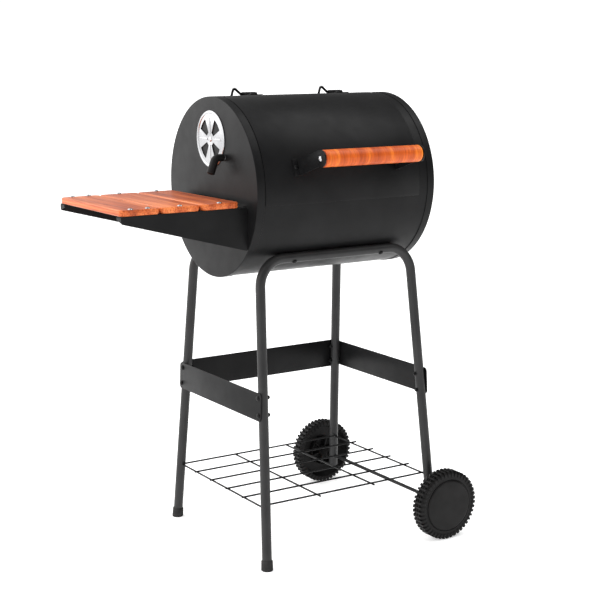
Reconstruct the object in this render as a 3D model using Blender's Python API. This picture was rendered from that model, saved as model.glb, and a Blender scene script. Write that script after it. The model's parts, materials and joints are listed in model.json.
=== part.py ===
"""Barrel charcoal grill: a sheet steel drum on two bent tube leg frames, with a hinged lid panel,
a slatted wooden side shelf, a wire bottom rack and two wheels. Metres, +Z up, front towards -Y."""

import math

import bmesh
import bpy
from mathutils import Matrix, Vector

# Driving dimensions. X is measured from the middle of the drum, Y from its axis, Z from the floor.
GAP = 0.0003  # between pieces that touch
SHEET = 0.001  # drum, lid and end cap steel

BARREL_Z = 0.7899
BARREL_LENGTH = 0.4465
SHELL_RADIUS = 0.1900
COVER_RADIUS = 0.1914  # outside of the end cap flanges and the lid, which lie on the shell
CAP_FLANGE, CAP_ROUND = 0.0180, 0.0022
FACET = 5.0  # degrees, all round the drum

# Angles round the drum run in degrees from the front (-Y), upwards.
LID_LOW, LID_HIGH = -7.5, 102.5
WINDOW_LOW, WINDOW_HIGH = -2.5, 97.5
LID_LEFT, LID_RIGHT = -0.2035, 0.1825
LID_LAP = 0.012  # lid over the shell, at each end

HINGE_Y, HINGE_Z = 0.0500, 0.9815
HINGE_MIDDLES = {"left": -0.1015, "right": 0.1225}
HINGE_WIDTH = 0.033
KNUCKLE_WIDTH = 0.011
KNUCKLE_RADIUS, KNUCKLE_BORE, PIN_RADIUS = 0.0052, 0.0034, 0.0029
KNUCKLE_NOTCH = 0.0070  # how deep a leaf is cut away beside the other leaf's knuckle
DRUM_LEAF_NEAR, DRUM_LEAF_FAR = 18.0, 28.0  # degrees behind the drum's top
LID_LEAF_NEAR, LID_LEAF_FAR = 11.5, 5.0
# The pin's bent end, from the hinge's middle: (x, z) of the raised loop's apex and of its foot.
PIN_APEX, PIN_FOOT, PIN_BEND = (-0.0370, 0.0150), (-0.0432, -0.0050), 0.0045
LEAF = 0.0016

GRIP_Y, GRIP_Z, GRIP_RADIUS = -0.2700, 0.8630, 0.0175
GRIP_HALF = 0.1203
ARM = 0.003
ARM_LOW, ARM_HIGH = 10.0, 20.5  # degrees on the lid
ARM_FOOT = 0.014

DAMPER_Z, DAMPER_RADIUS = 0.8920, 0.0600
DAMPER_HOLE_IN, DAMPER_HOLE_OUT, DAMPER_HOLE_SPAN = 0.0145, 0.0455, 39.0
LEVER_Y, LEVER_Z = -0.0580, 0.8575

TUBE_RADIUS, TUBE_BORE, TUBE_SIDES = 0.0105, 0.0093, 12
BEND_RADIUS = 0.058
LEG_X_FOOT, LEG_X_TOP = 0.2188, 0.1911
LEG_Y_FOOT = 0.2049
TOP_RUN_REACH = SHELL_RADIUS + TUBE_RADIUS + 0.0004  # drum axis to top run, 45 degrees down
TOP_RUN_Y = TOP_RUN_REACH * math.sin(math.radians(45))
TOP_RUN_Z = BARREL_Z - TOP_RUN_Y
DRUM_BOLT_X = 0.1105

BRACE_LOW, BRACE_HIGH, BRACE = 0.3148, 0.3748, 0.0015
REAR_BRACE_LOW, REAR_BRACE_HIGH = 0.3090, 0.3770
REAR_BRACE_OVERHANG = 0.0075  # past the middle of each leg, short of the side braces
BRACE_CORNER = 0.008
BRACE_BOLT_Z = (0.3636, 0.3270)

RACK_Z, WIRE_RADIUS = 0.1330, 0.0020
RACK_LONG_WIRES, RACK_CROSS_WIRES = 6, 4
RACK_OVERHANG = 0.009
RACK_CROSS_DROP = 0.0034  # cross wires, under the long ones

WHEEL_RADIUS, WHEEL_INNER_Y, WHEEL_WIDTH = 0.0780, 0.2332, 0.0335
WHEEL_SHOULDER = 0.0730  # where the sides meet the rounded tread
AXLE_RADIUS, AXLE_BORE = 0.0040, 0.0046
HUB_CAP_RISE = 0.0352  # crown of the cap, from the wheel's inner face
HUB_CAP_RADIUS = 0.0572
WHEEL_SIDES = 36

SHELF_OUTER = -0.5050
SHELF_HALF_Y = 0.1500
BRACKET_TOP, BRACKET_ROOT_LOW, BRACKET_TIP_LOW = 0.7608, 0.6722, 0.7462
BRACKET_FLANGE = 0.020
BOARD_WIDTH, BOARD_STEP, BOARD_TOP = 0.085, 0.089, 0.7735
SCREW_Y = 0.1430
OUTER_SCREW_X = 0.0185  # each side of the outer board's middle
SCREW_HEAD_RADIUS, SCREW_HEAD, SCREW_RADIUS, SCREW_LENGTH = 0.0054, 0.0030, 0.0020, 0.0165
SCREW_HOLE = 0.0026
BOARD_CORNER, BOARD_EDGE = 0.010, 0.002

COOKING_GRATE_Z, CHARCOAL_GRATE_Z = 0.7760, 0.6822
RAIL_LEDGE, RAIL_DROP = 0.016, 0.014
GRATE_CROSS_DROP = 0.0032  # cross rods, welded under the long ones
GRATE_HALVES_AND_BARS = {"cooking_grate": (0.176, 15), "charcoal_grate": (0.147, 11)}

BOLT_RADIUS, BOLT_HOLE = 0.0025, 0.0031
BOLT_HEAD_RADIUS, BOLT_HEAD = 0.0056, 0.0034

# Worked out from the driving dimensions.
END_X = BARREL_LENGTH / 2
LEG_LEAN_X = (LEG_X_FOOT - LEG_X_TOP) / TOP_RUN_Z
LEG_LEAN_Y = (LEG_Y_FOOT - TOP_RUN_Y) / TOP_RUN_Z
AXLE_Z = WHEEL_RADIUS
AXLE_X = LEG_X_FOOT - LEG_LEAN_X * AXLE_Z
FRONT_REACH = GRIP_Y - GRIP_RADIUS
REAR_REACH = WHEEL_INNER_Y + HUB_CAP_RISE
# The world origin is the middle of the grill's footprint box, on the floor.
SHIFT = Vector((-(SHELF_OUTER + AXLE_X + WHEEL_RADIUS) / 2, -(FRONT_REACH + REAR_REACH) / 2, 0.0))

FINISHES = {  # colour, metallic, roughness
    "black_paint": ((0.035, 0.035, 0.036), 0.0, 0.45),
    "chrome": ((0.80, 0.80, 0.80), 1.0, 0.12),
    "zinc_steel": ((0.62, 0.62, 0.62), 1.0, 0.35),
    "shelf_wood": ((0.60, 0.16, 0.07), 0.0, 0.40),
    "grip_wood": ((0.68, 0.18, 0.04), 0.0, 0.40),
    "black_plastic": ((0.030, 0.026, 0.026), 0.0, 0.50),
    "black_rubber": ((0.022, 0.022, 0.022), 0.0, 0.80),
    "grate_steel": ((0.10, 0.10, 0.10), 1.0, 0.50),
}


def clear_scene():
    for old in list(bpy.data.objects):
        bpy.data.objects.remove(old)


def make_finishes():
    made = {}
    for name, (colour, metallic, roughness) in FINISHES.items():
        material = bpy.data.materials.new(name)
        material.use_nodes = True
        shader = material.node_tree.nodes["Principled BSDF"]
        shader.inputs["Base Color"].default_value = (*colour, 1.0)
        shader.inputs["Metallic"].default_value = metallic
        shader.inputs["Roughness"].default_value = roughness
        made[name] = material
    return made


def make_empty(name, location, parent=None):
    empty = bpy.data.objects.new(name, None)
    empty.location = location
    empty.parent = parent
    bpy.context.scene.collection.objects.link(empty)
    return empty


def make_object(name, bm, finish, parent, location=(0, 0, 0), rotation=(0, 0, 0)):
    bmesh.ops.recalc_face_normals(bm, faces=bm.faces)
    mesh = bpy.data.meshes.new(name)
    bm.to_mesh(mesh)
    bm.free()
    mesh.shade_smooth()
    mesh.set_sharp_from_angle(angle=math.radians(35))
    mesh.materials.append(finishes[finish])
    piece = bpy.data.objects.new(name, mesh)
    piece.parent = parent
    piece.location = location
    piece.rotation_euler = rotation
    bpy.context.scene.collection.objects.link(piece)
    return piece


def make_helper(bm, parent, location=(0, 0, 0), rotation=(0, 0, 0)):
    """A cutter or a shape to join, left out of the model itself."""
    helper = make_object("helper", bm, "zinc_steel", parent, location, rotation)
    helper.hide_render = True
    helper.display_type = "WIRE"
    return helper


def boolean(piece, helper, operation):
    modifier = piece.modifiers.new(operation.lower(), "BOOLEAN")
    modifier.operation = operation
    modifier.solver = "EXACT"
    modifier.object = helper


def cut(piece, helper):
    boolean(piece, helper, "DIFFERENCE")


def join(piece, helper):
    boolean(piece, helper, "UNION")


# Shapes


def on_circle(radius, degrees):
    """A point of the YZ plane, at an angle from the front (-Y) upwards."""
    return Vector((0.0, -radius * math.cos(math.radians(degrees)), radius * math.sin(math.radians(degrees))))


def arc_angles(low, high, step=FACET):
    count = max(1, round((high - low) / step))
    return [low + (high - low) * k / count for k in range(count + 1)]


def turned(sections, sides, axis="X", turn=0.0):
    """A solid of revolution: (along, radius) points. A first and a last radius of 0 close it on the
    axis; otherwise the points are the closed section of a ring."""
    bm = bmesh.new()
    frame = {"X": Matrix(), "Y": Matrix.Rotation(math.radians(90), 4, "Z"),
             "Z": Matrix.Rotation(math.radians(-90), 4, "Y")}[axis]
    rings = []
    for along, radius in sections:
        if radius == 0:
            rings.append([bm.verts.new(frame @ Vector((along, 0, 0)))] * sides)
            continue
        angles = [math.radians(turn) + math.tau * k / sides for k in range(sides)]
        points = [Vector((along, radius * math.cos(a), radius * math.sin(a))) for a in angles]
        rings.append([bm.verts.new(frame @ point) for point in points])
    if sections[0][1] > 0:
        rings.append(rings[0])
    for near, far in zip(rings, rings[1:]):
        for k in range(sides):
            corners = [near[k], far[k], far[(k + 1) % sides], near[(k + 1) % sides]]
            bm.faces.new(list(dict.fromkeys(corners)))
    return bm


def extruded(outline, low, high, axis="X"):
    """A flat outline made into a plate along an axis; the outline's two values are the other axes."""
    bm = bmesh.new()

    def place(point, along):
        values = list(point)
        values.insert("XYZ".index(axis), along)
        return Vector(values)

    face = bm.faces.new([bm.verts.new(place(point, low)) for point in outline])
    side = bmesh.ops.extrude_face_region(bm, geom=[face])["geom"]
    moved = [item for item in side if isinstance(item, bmesh.types.BMVert)]
    bmesh.ops.translate(bm, verts=moved, vec=place((0, 0), high - low))
    return bm


def box(low, high):
    return extruded([(low[0], low[1]), (high[0], low[1]), (high[0], high[1]), (low[0], high[1])],
                    low[2], high[2], "Z")


def rounded_outline(low, high, radius, steps=3):
    """The corners of a rectangle with round corners, in order."""
    centres = [(high[0] - radius, high[1] - radius), (low[0] + radius, high[1] - radius),
               (low[0] + radius, low[1] + radius), (high[0] - radius, low[1] + radius)]
    outline = []
    for quarter, (u, v) in enumerate(centres):
        for k in range(steps + 1):
            angle = math.radians(90 * (quarter + k / steps))
            outline.append((u + radius * math.cos(angle), v + radius * math.sin(angle)))
    return outline


def curved_sheet(left, right, inner, outer, low, high):
    """A plate that follows the drum, with its origin on the drum's axis."""
    bm = bmesh.new()
    rings = []
    for degrees in arc_angles(low, high):
        section = [(left, inner), (right, inner), (right, outer), (left, outer)]
        rings.append([bm.verts.new(on_circle(radius, degrees) + Vector((x, 0, 0))) for x, radius in section])
    for near, far in zip(rings, rings[1:]):
        for k in range(4):
            bm.faces.new([near[k], near[(k + 1) % 4], far[(k + 1) % 4], far[k]])
    bm.faces.new(rings[0])
    bm.faces.new(rings[-1])
    return bm


def bent_path(corners, radius, steps=6):
    """A line through the corners, with an arc at each inner one."""
    corners = [Vector(corner) for corner in corners]
    path = [corners[0]]
    for before, corner, after in zip(corners, corners[1:], corners[2:]):
        inward = (corner - before).normalized()
        outward = (after - corner).normalized()
        turn = inward.angle(outward)
        towards = (outward - inward * math.cos(turn)).normalized()
        start = corner - inward * radius * math.tan(turn / 2)
        centre = start + towards * radius
        for k in range(steps + 1):
            angle = turn * k / steps
            path.append(centre + radius * (inward * math.sin(angle) - towards * math.cos(angle)))
    path.append(corners[-1])
    return path


def swept(path, radii, sides, normal, bore=0.0):
    """A round bar along a path, or a tube where a bore is given. radii is one value or one a point."""
    bm = bmesh.new()
    path = [Vector(point) for point in path]
    if isinstance(radii, float):
        radii = [radii] * len(path)
    normal = Vector(normal)
    outer, inner = [], []
    for k, point in enumerate(path):
        ahead = (path[min(k + 1, len(path) - 1)] - point).normalized()
        behind = (point - path[max(k - 1, 0)]).normalized()
        tangent = (ahead + behind).normalized()
        normal = (normal - tangent * normal.dot(tangent)).normalized()
        across = tangent.cross(normal)
        for radius, rings in ((radii[k], outer), (bore, inner)):
            angles = [math.tau * n / sides for n in range(sides)]
            spokes = [normal * math.cos(a) + across * math.sin(a) for a in angles]
            rings.append([bm.verts.new(point + radius * spoke) for spoke in spokes] if radius else None)
    for rings in (outer, inner):
        for near, far in zip(rings, rings[1:]):
            for n in range(sides):
                if near:
                    bm.faces.new([near[n], near[(n + 1) % sides], far[(n + 1) % sides], far[n]])
    for end in (0, -1):
        if not bore:
            bm.faces.new(outer[end])
            continue
        for n in range(sides):
            m = (n + 1) % sides
            bm.faces.new([outer[end][n], outer[end][m], inner[end][m], inner[end][n]])
    return bm


def bolt_shape(length, head_radius=BOLT_HEAD_RADIUS, head=BOLT_HEAD, shank=BOLT_RADIUS):
    """A round-headed bolt on local X: the head's seat is at 0, its crown towards -X."""
    return turned([(-head, 0), (-head, head_radius * 0.5), (-head * 0.55, head_radius * 0.9),
                   (0, head_radius), (0, shank), (length, shank), (length, 0)], 8)


def hole_shape(length, radius=BOLT_HOLE):
    return turned([(-length, 0), (-length, radius), (length, radius), (length, 0)], 8)


def facing(direction):
    """The rotation that turns local X to a direction."""
    return Vector(direction).to_track_quat("X", "Z").to_euler()


# Drum


def make_shell():
    bm = bmesh.new()
    edge = END_X - SHEET - GAP
    stops = [-edge, LID_LEFT + LID_LAP, LID_RIGHT - LID_LAP, edge]
    angles = arc_angles(WINDOW_LOW, WINDOW_LOW + 360)[:-1]
    rings = [[bm.verts.new(on_circle(SHELL_RADIUS, a) + Vector((x, 0, 0))) for x in stops] for a in angles]
    for k, degrees in enumerate(angles):
        after = rings[(k + 1) % len(rings)]
        for n in range(len(stops) - 1):
            window = n == 1 and degrees < WINDOW_HIGH - FACET / 2
            if not window:
                bm.faces.new([rings[k][n], rings[k][n + 1], after[n + 1], after[n]])
    shell = make_object("barrel_shell", bm, "black_paint", grill, (0, 0, BARREL_Z))
    wall = shell.modifiers.new("wall", "SOLIDIFY")
    wall.thickness = SHEET
    wall.offset = -1
    wall.use_even_offset = True
    for x in (-DRUM_BOLT_X, DRUM_BOLT_X):
        for side in (-1, 1):
            down = Vector((0, side, -1))
            hole = hole_shape(0.01)
            place = Vector((x, 0, BARREL_Z)) + down.normalized() * SHELL_RADIUS
            cut(shell, make_helper(hole, grill, place, facing(down)))


def make_end_cap(name, side):
    """A pressed disc whose flange slides over the shell."""
    outside, inside = END_X, END_X - SHEET
    lip = END_X - CAP_FLANGE
    inner = COVER_RADIUS - SHEET
    near = CAP_ROUND * 0.3
    section = [(outside, 0), (outside, COVER_RADIUS - CAP_ROUND),
               (outside - near, COVER_RADIUS - near), (outside - CAP_ROUND, COVER_RADIUS),
               (lip, COVER_RADIUS), (lip, inner), (inside, inner), (inside, 0)]
    bm = turned([(side * x, radius) for x, radius in section], round(360 / FACET), turn=FACET / 2)
    return make_object(name, bm, "black_paint", grill, (0, 0, BARREL_Z))


def damper_cutter(turn, margin):
    """Four sector prisms round the damper's axis."""
    bm = bmesh.new()
    for quarter in range(4):
        middle = turn + 90 * quarter
        angles = arc_angles(middle - DAMPER_HOLE_SPAN / 2, middle + DAMPER_HOLE_SPAN / 2, 10)
        outline = [on_circle(DAMPER_HOLE_OUT + margin, a) for a in angles]
        outline += [on_circle(DAMPER_HOLE_IN - margin, a) for a in (angles[-1], angles[0])]
        sector = extruded([(point.y, point.z) for point in outline], -0.01, 0.01)
        copy = bpy.data.meshes.new("sector")
        sector.to_mesh(copy)
        sector.free()
        bm.from_mesh(copy)
        bpy.data.meshes.remove(copy)
    return bm


def make_damper():
    """A turning disc with four vents; at rest its vents lie over solid steel, so it is shut."""
    pivot = make_empty("damper_pivot", (-END_X, 0, DAMPER_Z), grill)
    back = -GAP
    section = [(0, 0.0034), (0, DAMPER_RADIUS), (0.0012, DAMPER_RADIUS), (0.0026, DAMPER_RADIUS - 0.0025),
               (0.0026, DAMPER_RADIUS - 0.0045), (0.0012, DAMPER_RADIUS - 0.0065),
               (0.0012, DAMPER_RADIUS - 0.0090), (0.0018, DAMPER_RADIUS - 0.0120), (0.0018, 0.0034)]
    plate = make_object("damper_plate", turned([(back - rise, r) for rise, r in section], 48),
                        "chrome", pivot)
    cut(plate, make_helper(damper_cutter(45, 0.0), pivot))
    reach = Vector((0, LEVER_Y, LEVER_Z - DAMPER_Z))
    ear_angle = math.atan2(reach.z, reach.y)
    ear = [(-0.0080, -0.0075), (0.0, -0.0075), (0.0053, -0.0053), (0.0075, 0.0), (0.0053, 0.0053),
           (0.0, 0.0075), (-0.0080, 0.0075)]
    turn = Matrix.Rotation(ear_angle, 2)
    ear = [turn @ Vector(point) + Vector((reach.y, reach.z)) for point in ear]
    join(plate, make_helper(extruded(ear, back - 0.0011, back), pivot))

    root = reach + Vector((back - 0.0026 - GAP, 0, 0))
    path = bent_path([root, root + Vector((-0.019, 0, 0)), root + Vector((-0.032, 0, -0.033))], 0.011, 5)
    radii = [0.0052 + 0.0034 * k / (len(path) - 1) for k in range(len(path))]
    make_object("damper_lever", swept(path, radii, 10, (0, 1, 0)), "black_plastic", pivot)

    cap = make_end_cap("left_end_cap", -1)
    cut(cap, make_helper(damper_cutter(0, 0.001), pivot))
    cut(cap, make_helper(hole_shape(0.01, 0.0034), pivot))
    rivet = [(-0.0040, 0), (-0.0040, 0.0030), (-0.0026, 0.0058), (-0.0024, 0.0058), (-0.0024, 0.0029),
             (SHEET + GAP, 0.0029), (SHEET + GAP, 0.0050), (SHEET + 0.002, 0.0030), (SHEET + 0.002, 0)]
    make_object("damper_rivet", turned(rivet, 8), "zinc_steel", grill, (-END_X, 0, DAMPER_Z))


def make_grates():
    """Two welded wire grates. The cooking grate lies on rails, the charcoal grate on the drum's wall."""
    inside = SHELL_RADIUS - SHEET
    half_x = END_X - 0.016
    for name, height in (("cooking_grate", COOKING_GRATE_Z), ("charcoal_grate", CHARCOAL_GRATE_Z)):
        half_y, bars = GRATE_HALVES_AND_BARS[name]
        bm = rod_grid([(-half_x, half_x, y) for y in spread(half_y, bars)], 0.0)
        grate = make_object(name, bm, "grate_steel", grill, (0, 0, height))
        rods = [(-half_y - 0.003, half_y + 0.003, x) for x in spread(half_x - 0.008, 3)]
        cross = rod_grid(rods, -GRATE_CROSS_DROP, True)
        join(grate, make_helper(cross, grill, (0, 0, height)))
    ledge_top = COOKING_GRATE_Z - GRATE_CROSS_DROP - WIRE_RADIUS - GAP
    drop = ledge_top - BARREL_Z
    for name, side in (("front_grate_rail", -1), ("rear_grate_rail", 1)):
        wall = math.sqrt(inside**2 - drop**2) - 0.0006
        low_wall = math.sqrt(inside**2 - (drop - RAIL_DROP) ** 2) - 0.0006
        under, foot = ledge_top - SHEET, ledge_top - RAIL_DROP
        outline = [(wall, ledge_top), (wall - RAIL_LEDGE, ledge_top), (wall - RAIL_LEDGE, under),
                   (wall - 0.0016, under), (low_wall - 0.0012, foot), (low_wall, foot)]
        rail = extruded([(side * y, z) for y, z in outline], -half_x, half_x)
        make_object(name, rail, "black_paint", grill)


def spread(half, count):
    return [half * (2 * k / (count - 1) - 1) for k in range(count)]


def rod_grid(rods, height, along_y=False):
    """Straight six-sided rods in one mesh: (start, end, offset) for each."""
    bm = bmesh.new()
    for start, end, offset in rods:
        ends = [Vector((start, offset, height)), Vector((end, offset, height))]
        if along_y:
            ends = [Vector((point.y, point.x, point.z)) for point in ends]
        rod = swept(ends, WIRE_RADIUS, 6, (0, 0, 1))
        copy = bpy.data.meshes.new("rod")
        rod.to_mesh(copy)
        rod.free()
        bm.from_mesh(copy)
        bpy.data.meshes.remove(copy)
    return bm


# Lid


def make_lid():
    pivot = make_empty("lid_pivot", (0, HINGE_Y, HINGE_Z), grill)
    to_axis = Vector((0, -HINGE_Y, BARREL_Z - HINGE_Z))
    panel = curved_sheet(LID_LEFT, LID_RIGHT, COVER_RADIUS - SHEET, COVER_RADIUS, LID_LOW, LID_HIGH)
    make_object("lid_panel", panel, "black_paint", pivot, to_axis)
    grip_at = Vector((0, GRIP_Y - HINGE_Y, GRIP_Z - HINGE_Z))
    grip = turned([(-GRIP_HALF, 0), (-GRIP_HALF, GRIP_RADIUS - 0.0015), (-GRIP_HALF + 0.0015, GRIP_RADIUS),
                   (GRIP_HALF - 0.0015, GRIP_RADIUS), (GRIP_HALF, GRIP_RADIUS - 0.0015), (GRIP_HALF, 0)], 24)
    grip = make_object("handle_grip", grip, "grip_wood", pivot, grip_at)
    for name, side in (("left", -1), ("right", 1)):
        inner_face = GRIP_HALF + GAP
        outline = arm_outline(to_axis)
        faces = sorted((side * inner_face, side * (inner_face + ARM)))
        arm = make_object(f"{name}_handle_arm", extruded(outline, *faces), "black_paint", pivot)
        foot = sorted((side * (inner_face + 0.001), side * (inner_face + ARM_FOOT)))
        flange = curved_sheet(*foot, COVER_RADIUS + GAP, COVER_RADIUS + GAP + 0.0025, ARM_LOW, ARM_HIGH)
        join(arm, make_helper(flange, pivot, to_axis))
        seat = grip_at + Vector((side * (inner_face + ARM + GAP), 0, 0))
        inwards = facing((-side, 0, 0))
        make_object(f"{name}_handle_bolt", bolt_shape(0.030), "zinc_steel", pivot, seat, inwards)
        cut(arm, make_helper(hole_shape(0.0315), pivot, seat, inwards))
        cut(grip, make_helper(hole_shape(0.0315), pivot, seat, inwards))
    for name, middle in HINGE_MIDDLES.items():
        make_hinge(name, middle, pivot)


def arm_outline(to_axis):
    """The arm's side view: its root follows the lid, its tip is round like the grip."""
    root = [to_axis + on_circle(COVER_RADIUS + GAP, a) for a in arc_angles(ARM_LOW, ARM_HIGH, 2.5)]
    tip_y, tip_z = GRIP_Y - HINGE_Y, GRIP_Z - HINGE_Z
    outline = [(point.y, point.z) for point in root]
    for degrees in range(82, 295, 15):
        angle = math.radians(degrees)
        outline.append((tip_y + GRIP_RADIUS * math.cos(angle), tip_z + GRIP_RADIUS * math.sin(angle)))
    return outline


def leaf_outline(radius, near, far, behind):
    """The side view of a hinge leaf: a rolled knuckle round the pin and a strip on the drum.
    near and far are degrees behind the drum's top; behind is 1 for the leaf behind the pin."""

    def strip(degrees, reach):
        point = on_circle(reach, 90 + degrees)
        return (point.y - HINGE_Y, point.z + BARREL_Z - HINGE_Z)

    low = [strip(a, radius + GAP) for a in (far, (far + near) / 2, near)]
    top_near = near + behind * 2.5
    top = [strip(a, radius + GAP + LEAF) for a in (top_near, (far + top_near) / 2, far)]
    knuckle = []
    for k in range(11):
        angle = math.radians(-90 + behind * (-20 - 26 * k))
        knuckle.append((KNUCKLE_RADIUS * math.cos(angle), KNUCKLE_RADIUS * math.sin(angle)))
    return low + knuckle + top


def make_hinge(name, middle, pivot):
    half, knuckle = HINGE_WIDTH / 2, KNUCKLE_WIDTH / 2
    bore = turned([(-0.03, 0), (-0.03, KNUCKLE_BORE), (0.03, KNUCKLE_BORE), (0.03, 0)], 12)
    bore = make_helper(bore, pivot, (middle, 0, 0))
    outline = leaf_outline(SHELL_RADIUS, DRUM_LEAF_NEAR, DRUM_LEAF_FAR, 1)
    drum_leaf = extruded(outline, middle - half, middle + half)
    drum_leaf = make_object(f"{name}_hinge_drum_leaf", drum_leaf, "black_paint", pivot)
    wide = knuckle + 0.0004
    notch = box((middle - wide, -0.01, -0.02), (middle + wide, KNUCKLE_NOTCH, 0.02))
    cut(drum_leaf, make_helper(notch, pivot))
    cut(drum_leaf, bore)
    outline = leaf_outline(COVER_RADIUS, LID_LEAF_NEAR, LID_LEAF_FAR, -1)
    lid_leaf = extruded(outline, middle - half, middle + half)
    lid_leaf = make_object(f"{name}_hinge_lid_leaf", lid_leaf, "black_paint", pivot)
    for side in (-1, 1):
        stops = sorted((middle + side * knuckle, middle + side * (half + 0.01)))
        notch = box((stops[0], -KNUCKLE_NOTCH, -0.02), (stops[1], 0.01, 0.02))
        cut(lid_leaf, make_helper(notch, pivot))
    cut(lid_leaf, bore)
    # The pin is a bent rod, whose raised loop comes close to the drum when the lid is fully open.
    route = [(middle + half + 0.002, 0, 0), (middle - half - 0.002, 0, 0)]
    route += [(middle + x, 0, z) for x, z in (PIN_APEX, PIN_FOOT)]
    path = bent_path(route, PIN_BEND, 4)
    make_object(f"{name}_hinge_pin", swept(path, PIN_RADIUS, 12, (0, 1, 0)), "black_paint", pivot)


# Stand


def leg_point(side_x, side_y, height):
    x, y = LEG_X_FOOT - LEG_LEAN_X * height, LEG_Y_FOOT - LEG_LEAN_Y * height
    return Vector((side_x * x, side_y * y, height))


def make_stand():
    for name, side in (("front", -1), ("rear", 1)):
        corners = [leg_point(-1, side, 0.0048), leg_point(-1, side, TOP_RUN_Z),
                   leg_point(1, side, TOP_RUN_Z), leg_point(1, side, 0.0540)]
        path = bent_path(corners, BEND_RADIUS, 6)
        plane = (corners[1] - corners[0]).cross(corners[2] - corners[1]).normalized()
        tube = swept(path, TUBE_RADIUS, TUBE_SIDES, plane, TUBE_BORE)
        frame = make_object(f"{name}_leg_frame", tube, "black_paint", grill)
        cut_leg_holes(frame, side)
        make_foot(f"{name}_foot", corners[0], corners[1], plane)
        for hand, x in (("left", -DRUM_BOLT_X), ("right", DRUM_BOLT_X)):
            inwards = Vector((0, -side, 1)).normalized()
            run = Vector((x, side * TOP_RUN_Y, TOP_RUN_Z))
            seat = run - inwards * (TUBE_RADIUS + GAP)
            bolt = bolt_shape(2 * TUBE_RADIUS + 0.008)
            make_object(f"{name}_{hand}_drum_bolt", bolt, "black_paint", grill, seat, facing(inwards))
            cut(frame, make_helper(hole_shape(0.03), grill, run, facing(inwards)))


def cut_leg_holes(frame, side):
    """Holes for the axle, the side brace bolts and the ends of the rack's outer wires."""
    axle_hole = turned([(-0.02, 0), (-0.02, AXLE_BORE), (0.02, AXLE_BORE), (0.02, 0)], 12, "Y")
    cut(frame, make_helper(axle_hole, grill, leg_point(1, side, AXLE_Z)))
    for hand in (-1, 1):
        for height in BRACE_BOLT_Z:
            place = leg_point(hand, side, height)
            cut(frame, make_helper(hole_shape(0.02), grill, place, facing(brace_normal(hand))))
        half = WIRE_RADIUS + 0.0006
        near, far = sorted((0, -side * 0.02))
        wire_hole = box((-half, near, -half), (half, far, half))
        cut(frame, make_helper(wire_hole, grill, leg_point(hand, side, RACK_Z - RACK_CROSS_DROP)))


def brace_normal(hand):
    return Vector((hand, 0, LEG_LEAN_X)).normalized()


def make_foot(name, low, high, plane):
    """A rubber cup on the leg's end, cut level where it stands on the floor."""
    along = (high - low).normalized()
    floor_point = low - along * (low.z / along.z)
    across = along.cross(plane)
    sides = TUBE_SIDES
    bm = bmesh.new()

    def ring(distance, radius, level=False):
        made = []
        for k in range(sides):
            angle = math.tau * k / sides
            spoke = plane * math.cos(angle) + across * math.sin(angle)
            point = floor_point + along * distance + radius * spoke
            if level:
                point -= along * (point.z / along.z)
            made.append(bm.verts.new(point))
        return made

    inner = TUBE_RADIUS + GAP
    rings = [ring(0, 0.0128, True), ring(0.020, 0.0124), ring(0.022, 0.0118), ring(0.022, inner),
             ring(0.0045, inner)]
    for near, far in zip(rings, rings[1:]):
        for k in range(sides):
            bm.faces.new([near[k], near[(k + 1) % sides], far[(k + 1) % sides], far[k]])
    bm.faces.new(rings[0])
    bm.faces.new(rings[-1])
    make_object(name, bm, "black_rubber", grill)


def make_braces():
    middle = (BRACE_LOW + BRACE_HIGH) / 2
    half_height = (BRACE_HIGH - BRACE_LOW) / 2
    half_length = LEG_Y_FOOT - LEG_LEAN_Y * middle + TUBE_RADIUS
    for name, hand in (("left", -1), ("right", 1)):
        normal = brace_normal(hand)
        leg = leg_point(hand, 1, middle)
        centre = Vector((leg.x, 0, middle)) + normal * (TUBE_RADIUS + GAP)
        outline = rounded_outline((-half_length, -half_height), (half_length, half_height), BRACE_CORNER)
        plate = extruded(outline, *sorted((0, hand * BRACE)))
        lean = (0, -hand * math.atan(LEG_LEAN_X), 0)
        brace = make_object(f"{name}_brace", plate, "black_paint", grill, centre, lean)
        for end, side in (("front", -1), ("rear", 1)):
            for row, height in zip(("upper", "lower"), BRACE_BOLT_Z):
                hole = leg_point(hand, side, height)
                seat = hole + normal * (TUBE_RADIUS + BRACE + 2 * GAP)
                cut(brace, make_helper(hole_shape(0.03), grill, hole, facing(normal)))
                bolt = bolt_shape(2 * TUBE_RADIUS + BRACE + 0.006)
                bolt_name = f"{name}_{end}_{row}_brace_bolt"
                make_object(bolt_name, bolt, "black_paint", grill, seat, facing(-normal))
    middle = (REAR_BRACE_LOW + REAR_BRACE_HIGH) / 2
    half_height = (REAR_BRACE_HIGH - REAR_BRACE_LOW) / 2
    normal = Vector((0, 1, LEG_LEAN_Y)).normalized()
    leg = leg_point(1, 1, middle)
    centre = Vector((0, leg.y, middle)) + normal * (TUBE_RADIUS + GAP)
    half_length = leg.x + REAR_BRACE_OVERHANG
    outline = rounded_outline((-half_length, -half_height), (half_length, half_height), BRACE_CORNER)
    plate = extruded(outline, 0, BRACE, "Y")
    make_object("rear_brace", plate, "black_paint", grill, centre, (math.atan(LEG_LEAN_Y), 0, 0))


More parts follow.
